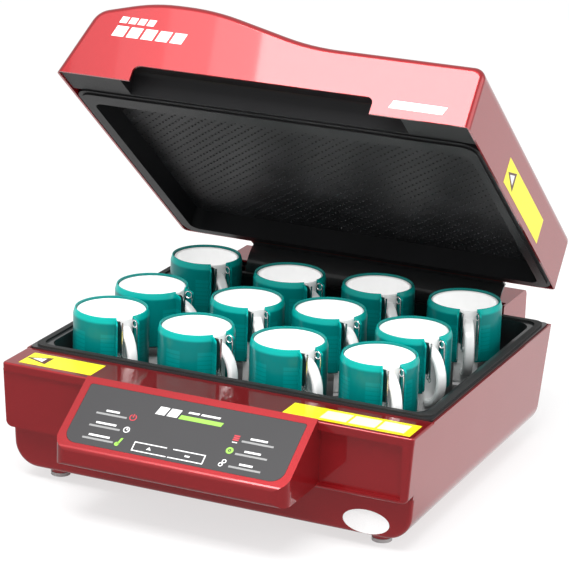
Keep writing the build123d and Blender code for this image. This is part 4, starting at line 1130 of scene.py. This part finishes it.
class PRESS_OT_studio(bpy.types.Operator):
    """Set the camera, the pale floor and the soft lamps"""
    bl_idname = "press.studio"
    bl_label = "Studio"

    def camera(self, studio):
        azimuth, elevation = studio.azimuth, studio.elevation
        back = Vector((sin(azimuth) * cos(elevation), -cos(azimuth) * cos(elevation), sin(elevation)))
        right = Vector((cos(azimuth), sin(azimuth), 0))
        level = Matrix((right, back.cross(right), back)).transposed()
        turn = level @ Matrix.Rotation(studio.roll, 3, "Z")
        camera = bpy.data.objects.new("camera", bpy.data.cameras.new("camera"))
        camera.data.lens = studio.lens
        camera.data.sensor_width = 36.0
        camera.data.clip_end = 50.0
        target = PIVOT + Vector(studio.target)
        camera.matrix_world = Matrix.Translation(target + back * studio.distance) @ turn.to_4x4()
        bpy.context.scene.collection.objects.link(camera)
        bpy.context.scene.camera = camera

    def softbox(self, name, place, aim, width, depth, radiance):
        """An area lamp of a given brightness per area, so that its size changes only its softness."""
        data = bpy.data.lights.new(name, "AREA")
        data.shape = "RECTANGLE"
        data.size, data.size_y = width, depth
        data.energy = radiance * pi * width * depth
        lamp = bpy.data.objects.new(name, data)
        aim = Vector(aim) - Vector(place)
        lamp.matrix_world = Matrix.Translation(place) @ aim.to_track_quat("-Z", "Y").to_matrix().to_4x4()
        bpy.context.scene.collection.objects.link(lamp)

    def lamps(self, studio):
        """A large lamp in front and above, strips that fade out to its left, and a low lamp on the right."""
        front, high, deep = -1.00, 2.20, 1.1
        self.softbox("key", (0.07, front, high), (0.07, 0.1, 0.2), 1.9, deep, studio.key)
        for step in range(4):
            x = -0.93 - 0.10 * step
            strength = studio.wing * 0.6 ** step
            self.softbox("wing_%d" % step, (x, front, high), (x, 0.1, 0.2), 0.10, deep, strength)
        self.softbox("side", (2.30, 0.40, 1.20), (0.0, 0.0, 0.2), 1.4, 1.6, studio.side)

    def floor(self, studio):
        """A wide pale floor that keeps a soft shadow. Reflections see it dark in front and bright behind."""
        made = bmesh.new()
        bmesh.ops.create_grid(made, x_segments=1, y_segments=1, size=14.0)
        floor = bpy.data.objects.new("floor", finished_mesh("floor", made))
        bpy.context.scene.collection.objects.link(floor)
        finish = Finish("pale_floor", Roughness=0.9, Specular_IOR_Level=0.0, Emission_Strength=1.0)
        seen, mirrored = finish.ray("Is Camera Ray"), finish.ray("Is Glossy Ray")
        behind = finish.along("Y").between(-0.30, 0.0)
        glow = studio.front_floor + (studio.rear_floor - studio.front_floor) * behind
        finish.set("Base Color", studio.floor * (1 - mirrored - studio.unlit * seen))
        finish.set("Emission Color", seen * studio.backdrop + mirrored * glow)
        floor.data.materials.append(finish.material)

    def world(self, studio):
        """An even white room, darker in reflections than it lights, and plain white where it is seen."""
        world = bpy.data.worlds.new("soft_room")
        bpy.context.scene.world = world
        room = Nodes(world, "Background")
        level = studio.fill + (studio.mirrored - studio.fill) * room.ray("Is Glossy Ray")
        room.set("Color", (1.0, 1.0, 1.0))
        room.set("Strength", level + (1 - level) * room.ray("Is Camera Ray"))

    def execute(self, context):
        studio = settings("press_studio")
        self.camera(studio)
        self.floor(studio)
        self.world(studio)
        self.lamps(studio)
        bpy.context.scene.view_settings.view_transform = "Standard"
        return {"FINISHED"}


OPERATORS = (
    PRESS_OT_studio, PRESS_OT_casing, PRESS_OT_mugs, PRESS_OT_wraps, PRESS_OT_cradles, PRESS_OT_lid,
    PRESS_OT_controls, PRESS_OT_labels,
)


class PRESS_PT_panel(bpy.types.Panel):
    """Lists the press's pieces and their sizes"""
    bl_idname = "PRESS_PT_panel"
    bl_label = "Heat Press"
    bl_space_type = "VIEW_3D"
    bl_region_type = "UI"
    bl_category = "Heat Press"

    def draw(self, context):
        for operator in OPERATORS:
            self.layout.operator(operator.bl_idname)
        for name, group in SETTINGS.items():
            box = self.layout.box()
            box.label(text=group.__doc__)
            for item in group.__annotations__:
                box.prop(getattr(context.scene, name), item)


def register():
    for group in SETTINGS.values():
        bpy.utils.register_class(group)
    for name, group in SETTINGS.items():
        setattr(bpy.types.Scene, name, PointerProperty(type=group))
    for kind in (*OPERATORS, PRESS_PT_panel):
        bpy.utils.register_class(kind)


def unregister():
    for kind in reversed((*OPERATORS, PRESS_PT_panel)):
        bpy.utils.unregister_class(kind)
    for name, group in SETTINGS.items():
        delattr(bpy.types.Scene, name)
        bpy.utils.unregister_class(group)


def main():
    register()
    for operator in OPERATORS:
        area, name = operator.bl_idname.split(".")
        getattr(getattr(bpy.ops, area), name)()


if __name__ == "__main__":
    main()
